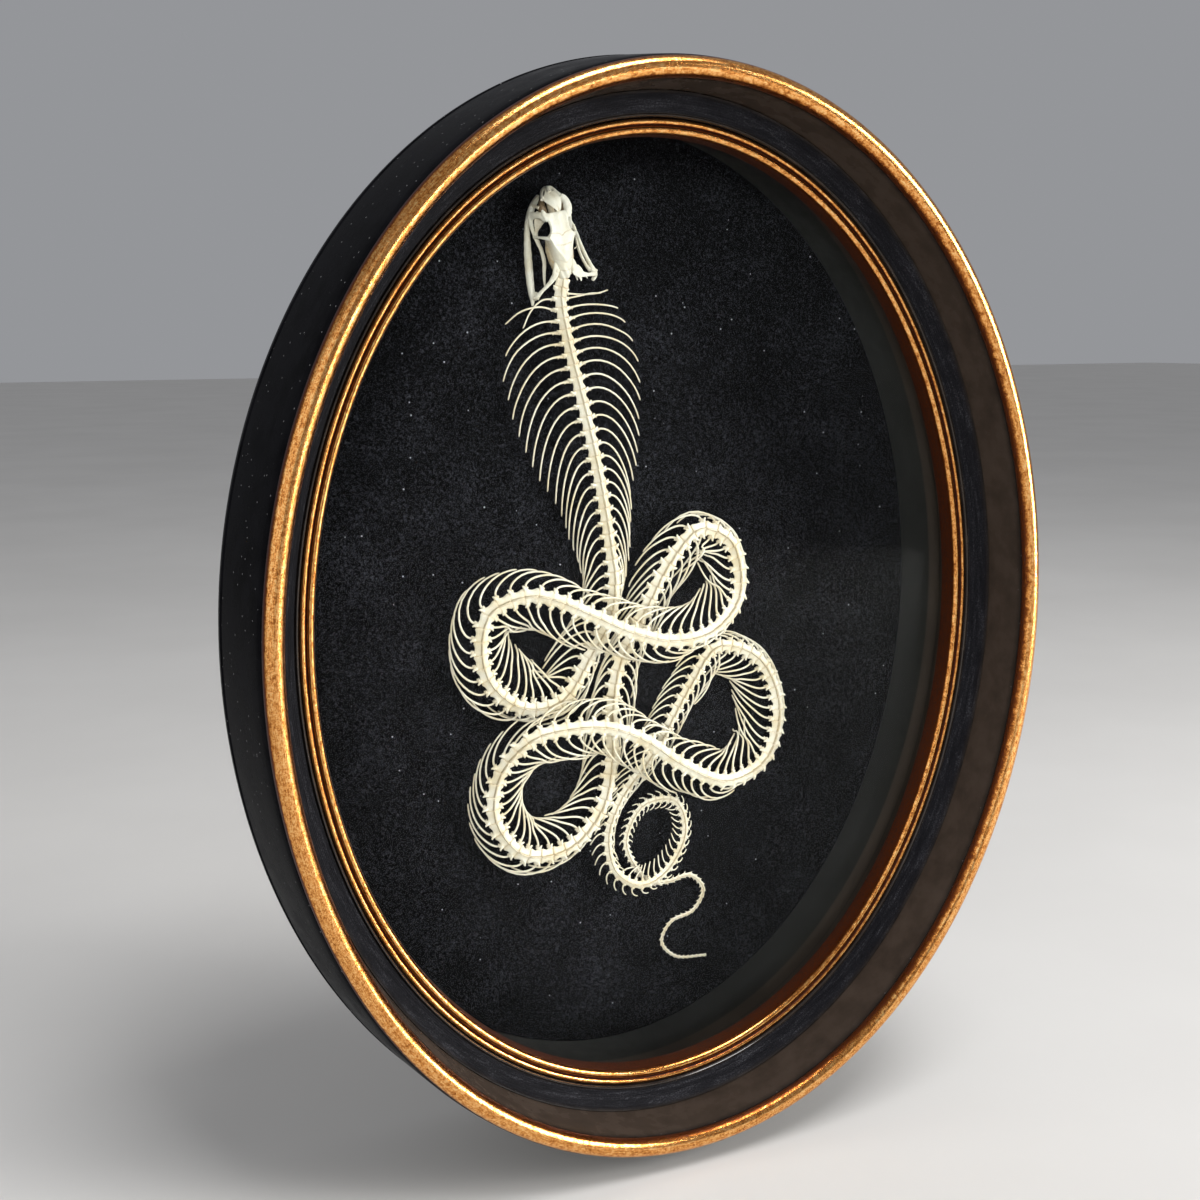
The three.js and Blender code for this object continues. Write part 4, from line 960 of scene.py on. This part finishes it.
def build_upper_jaw(name, side):
    """The maxilla with its fang and teeth, and the pterygoid with the ectopterygoid."""
    skin = Skin()
    bar(skin, [[39, 3.6, 7.4, 0.4, 0.5], [38, 4.6, 7.1, 1, 1.1], [36, 6.5, 6.9, 1.4, 1.6],
               [33.6, 8.5, 6.8, 1.5, 1.6], [31, 9.6, 6.8, 1.5, 1.4], [28.3, 10, 6.5, 1.3, 1.1],
               [25.4, 10, 6.3, 1.1, 0.9], [22.6, 9.7, 6.2, 0.85, 0.8], [20.4, 9.3, 6.2, 0.9, 0.7],
               [19, 8.8, 6.2, 0.6, 0.5]], 50, 16, side)
    fang = [[36.4, 5.9 * side, 6.4], [37, 5.8 * side, 5], [37, 5.7 * side, 3.3], [36.4, 5.6 * side, 1.5]]
    skin.tube(skull_points(fang), [0.75, 0.6, 0.42, 0.08], [0.75, 0.6, 0.42, 0.08], 12)
    teeth(skin, [[30, 8.6, 6.2], [26.5, 8.9, 6.1], [23, 8.8, 6]], 7, 1.3, 0.2, side)
    build_bone(skin, "maxilla_" + name)

    skin = Skin()
    bar(skin, [[26, 7.4, 7.6, 0.6, 0.4], [23.6, 8.2, 7, 0.7, 0.5], [20.5, 8.6, 6.4, 0.8, 0.6],
               [17, 8, 5.9, 0.9, 0.6], [13, 7.1, 5.5, 1, 0.6], [8, 6.9, 5.3, 1, 0.6],
               [3, 7.9, 4.9, 0.85, 0.5], [-1, 8.5, 4.6, 0.6, 0.45], [-3.6, 8.8, 4.4, 0.25, 0.3]],
               50, 12, side, 0.2)
    bar(skin, [[20, 9.2, 6.3, 1, 0.6], [17.6, 8.7, 6.2, 0.8, 0.55], [14.6, 7.7, 6, 0.75, 0.5],
               [11.6, 6.9, 5.8, 0.7, 0.4]], 18, 12, side)
    teeth(skin, [[25, 7.4, 6.8], [19, 8, 5.8], [12, 6.5, 5]], 12, 1.1, 0.5, side)
    build_bone(skin, "pterygoid_" + name)


def build_quadrates():
    skin = Skin()
    bar(skin, [[2.6, -5, 12.2, 0.9, 0.6], [0.8, -6, 11.5, 1.3, 0.75], [-1.2, -7.4, 10.4, 1.15, 0.75],
               [-3, -9.4, 8.9, 0.9, 0.75], [-4.8, -11.6, 7.3, 0.85, 0.8], [-6.6, -13.6, 6, 1.1, 0.9],
               [-7.8, -14.7, 5.3, 1.5, 0.9]], 32, 14)
    lump(skin, -7.4, -15.4, 5.0, (1.0, 0.9, 0.8))
    build_bone(skin, "quadrate_left")
    skin = Skin()
    bar(skin, [[2.8, 4.6, 12.8, 2, 0.5], [1.4, 6.2, 12, 2.7, 0.6], [-0.1, 8, 10.9, 2.3, 0.6],
               [-1.2, 10.2, 9.5, 1.4, 0.65], [-1.8, 12.8, 7.9, 0.95, 0.7], [-2.1, 15.4, 6.5, 0.95, 0.8],
               [-2.2, 17.8, 5.5, 1.3, 0.85]], 34, 16)
    # its two spurs
    bar(skin, [[-1.4, 7.6, 10.8, 0.9, 0.5], [-2.9, 8.1, 10.4, 0.6, 0.4], [-4, 8.3, 10, 0.25, 0.25]], 8)
    bar(skin, [[-2.2, 12, 7.9, 0.5, 0.4], [-3.2, 12.6, 7.6, 0.3, 0.3], [-3.7, 12.8, 7.4, 0.15, 0.15]], 6, 8)
    build_bone(skin, "quadrate_right")


def build_mandibles():
    skin = Skin()
    bar(skin, [[39.3, -2.2, 2.4, 0.4, 0.6], [37.4, -4.3, 2.3, 0.7, 1], [34, -7.2, 2.2, 0.9, 1.2],
               [29, -9.8, 2.2, 1, 1.3], [24, -11.2, 2.3, 1.3, 1.5], [19, -12.2, 2.4, 1.6, 1.7],
               [12, -13.5, 2.6, 1.85, 1.9], [5, -14.5, 2.7, 1.9, 1.9], [-1, -15.2, 2.7, 1.75, 1.8],
               [-5.6, -15.5, 2.7, 1.5, 1.7], [-8.2, -15.7, 2.6, 1.1, 1.2], [-11, -16.2, 2.4, 0.5, 0.7]],
               60, 18)
    # the seat of the joint
    bar(skin, [[-5, -13.6, 3.8, 0.8, 0.7], [-6.8, -14.3, 4.4, 1.1, 0.8], [-8.4, -15.3, 4.1, 0.9, 0.7]], 10)
    teeth(skin, [[37, -4.7, 3.2], [31, -8.9, 3.4], [25, -10.9, 3.6]], 9, -1.3, -0.5)
    build_bone(skin, "mandible_left")
    skin = Skin()
    bar(skin, [[39.3, 2, 2.4, 0.4, 0.6], [37.2, 4.2, 2.3, 0.7, 1], [33.4, 7.9, 2.2, 0.9, 1.2],
               [28, 10.6, 2.2, 1, 1.3], [23, 12.1, 2.3, 1.15, 1.5], [18.5, 13.3, 2.4, 1.2, 1.7],
               [13, 14.7, 2.5, 0.85, 1.5], [7, 16.4, 2.6, 0.75, 1.4], [2, 17.9, 2.8, 0.95, 1.5],
               [-1.6, 18.9, 2.9, 1.5, 1.7], [-3.6, 18.9, 2.7, 1.2, 1.3], [-5.4, 17.5, 2.4, 0.7, 0.8]],
               60, 16)
    # the inner half of the split compound bone
    bar(skin, [[17.5, 12.8, 2.6, 0.6, 0.9], [13.4, 12.9, 2.9, 0.65, 0.9], [8, 13.7, 3, 0.65, 0.9],
               [3, 15.2, 3.1, 0.7, 0.9], [-0.6, 17, 3.2, 1, 1]], 24, wear=0.15)
    bar(skin, [[-0.2, 17.4, 4.1, 0.9, 0.7], [-2, 18.2, 4.6, 1.2, 0.8], [-3.4, 19.3, 4, 0.8, 0.7]], 10)
    lump(skin, -1.0, 19.8, 3.8, (0.8, 0.7, 0.7))
    teeth(skin, [[37, 4.5, 3.2], [31, 9, 3.4], [25, 11.5, 3.6]], 9, -1.3, -0.5)
    build_bone(skin, "mandible_right")


# ---- studio, in metres
FLOOR_REACH, FLOOR_GAP = 14.0, 0.0005
SKY_COLOR, SKY_STRENGTH = (0.93, 0.95, 1.0), 0.32
# the lamps: name, place, aim, size, power and colour
LAMPS = [("window", (1.62, -1.40, 0.25), (0, 0, 0.05), (0.62, 1.5), 62, (1.0, 0.98, 0.95)),
         ("soft_box", (-1.55, -1.25, 0.1), (0, 0, 0), (3.0, 2.0), 12, (1.0, 0.97, 0.93)),
         ("top", (0.3, -0.9, 2.0), (0, 0, 0), (0.9, 0.9), 36, (1, 1, 1))]
SUN_DIRECTION, SUN_STRENGTH, SUN_ANGLE, SUN_COLOR = (0.50, 0.85, -0.11), 1.85, 11, (1.0, 0.985, 0.955)


def place_light(name, kind, direction, power, color):
    data = bpy.data.lights.new(name, kind)
    data.energy, data.color = power, color
    made = bpy.data.objects.new(name, data)
    made.rotation_mode = "QUATERNION"
    made.rotation_quaternion = direction.to_track_quat("-Z", "Y")
    bpy.context.collection.objects.link(made)
    return made


def build_studio():
    floor_mesh = bpy.data.meshes.new("studio_floor")
    low = cad_box[0].z - FLOOR_GAP
    corners = [(-1, -1), (1, -1), (1, 1), (-1, 1)]
    floor_mesh.from_pydata([(x * FLOOR_REACH, y * FLOOR_REACH, low) for x, y in corners], [], [(0, 1, 2, 3)])
    floor = bpy.data.objects.new("studio_floor", floor_mesh)
    bpy.context.collection.objects.link(floor)
    p = Paint("pale_floor", (0.62, 0.61, 0.595), 0.75, specular=0.2)
    pale = p.ramp(p.noise(3, 4), (0.3, (0.60, 0.59, 0.575)), (0.7, (0.64, 0.63, 0.615)))
    floor_mesh.materials.append(p.use(Base_Color=pale))

    world = bpy.data.worlds.new("studio_world")
    bpy.context.scene.world = world
    world.use_nodes = True
    sky = world.node_tree.nodes["Background"]
    sky.inputs["Color"].default_value = (*SKY_COLOR, 1)
    sky.inputs["Strength"].default_value = SKY_STRENGTH

    for name, where, aim, size, power, color in LAMPS:
        lamp = place_light(name, "AREA", Vector(aim) - Vector(where), power, color)
        lamp.data.shape = "RECTANGLE"
        lamp.data.size, lamp.data.size_y = size
        lamp.location = where
        lamp.visible_camera = False
    # the sun isn't mirrored in the gilt or the glass
    sun = place_light("key", "SUN", Vector(SUN_DIRECTION), SUN_STRENGTH, SUN_COLOR)
    sun.data.angle = math.radians(SUN_ANGLE)
    sun.visible_glossy = False


# the photograph's camera, from the left and a little above, as fitted to the frame's ovals
CAMERA_YAW, CAMERA_TILT, CAMERA_ROLL = math.radians(-24.25), math.radians(10.11), math.radians(-0.36)
CAMERA_TARGET, CAMERA_DISTANCE = Vector((-47.36, -100.0, 21.08)), 661.45
FOCAL_PIXELS, PHOTO_PIXELS, SENSOR_WIDTH = 1490.8, 1200, 36


def build_camera():
    flat = math.cos(CAMERA_TILT)
    back = Vector((math.sin(CAMERA_YAW) * flat, -math.cos(CAMERA_YAW) * flat, math.sin(CAMERA_TILT)))
    right = (-back).cross(Vector((0, 0, 1))).normalized()
    up = right.cross(-back)
    turned_right = math.cos(CAMERA_ROLL) * right + math.sin(CAMERA_ROLL) * up
    turned_up = -math.sin(CAMERA_ROLL) * right + math.cos(CAMERA_ROLL) * up
    data = bpy.data.cameras.new("camera")
    data.sensor_width = SENSOR_WIDTH
    data.lens = FOCAL_PIXELS / PHOTO_PIXELS * SENSOR_WIDTH
    data.clip_start, data.clip_end = 0.02, 60
    made = bpy.data.objects.new("camera", data)
    turn = Matrix((turned_right, turned_up, back)).transposed().to_4x4()
    made.matrix_world = Matrix.Translation((CAMERA_TARGET + back * CAMERA_DISTANCE) * MM) @ turn
    bpy.context.collection.objects.link(made)
    bpy.context.scene.camera = made


view = bpy.context.scene.view_settings
view.view_transform = "Standard"
view.look = "None"
build_frame()
build_body()
build_cranium()
for jaw_name, jaw_side in (("right", 1), ("left", -1)):
    build_upper_jaw(jaw_name, jaw_side)
build_quadrates()
build_mandibles()
build_studio()
build_camera()
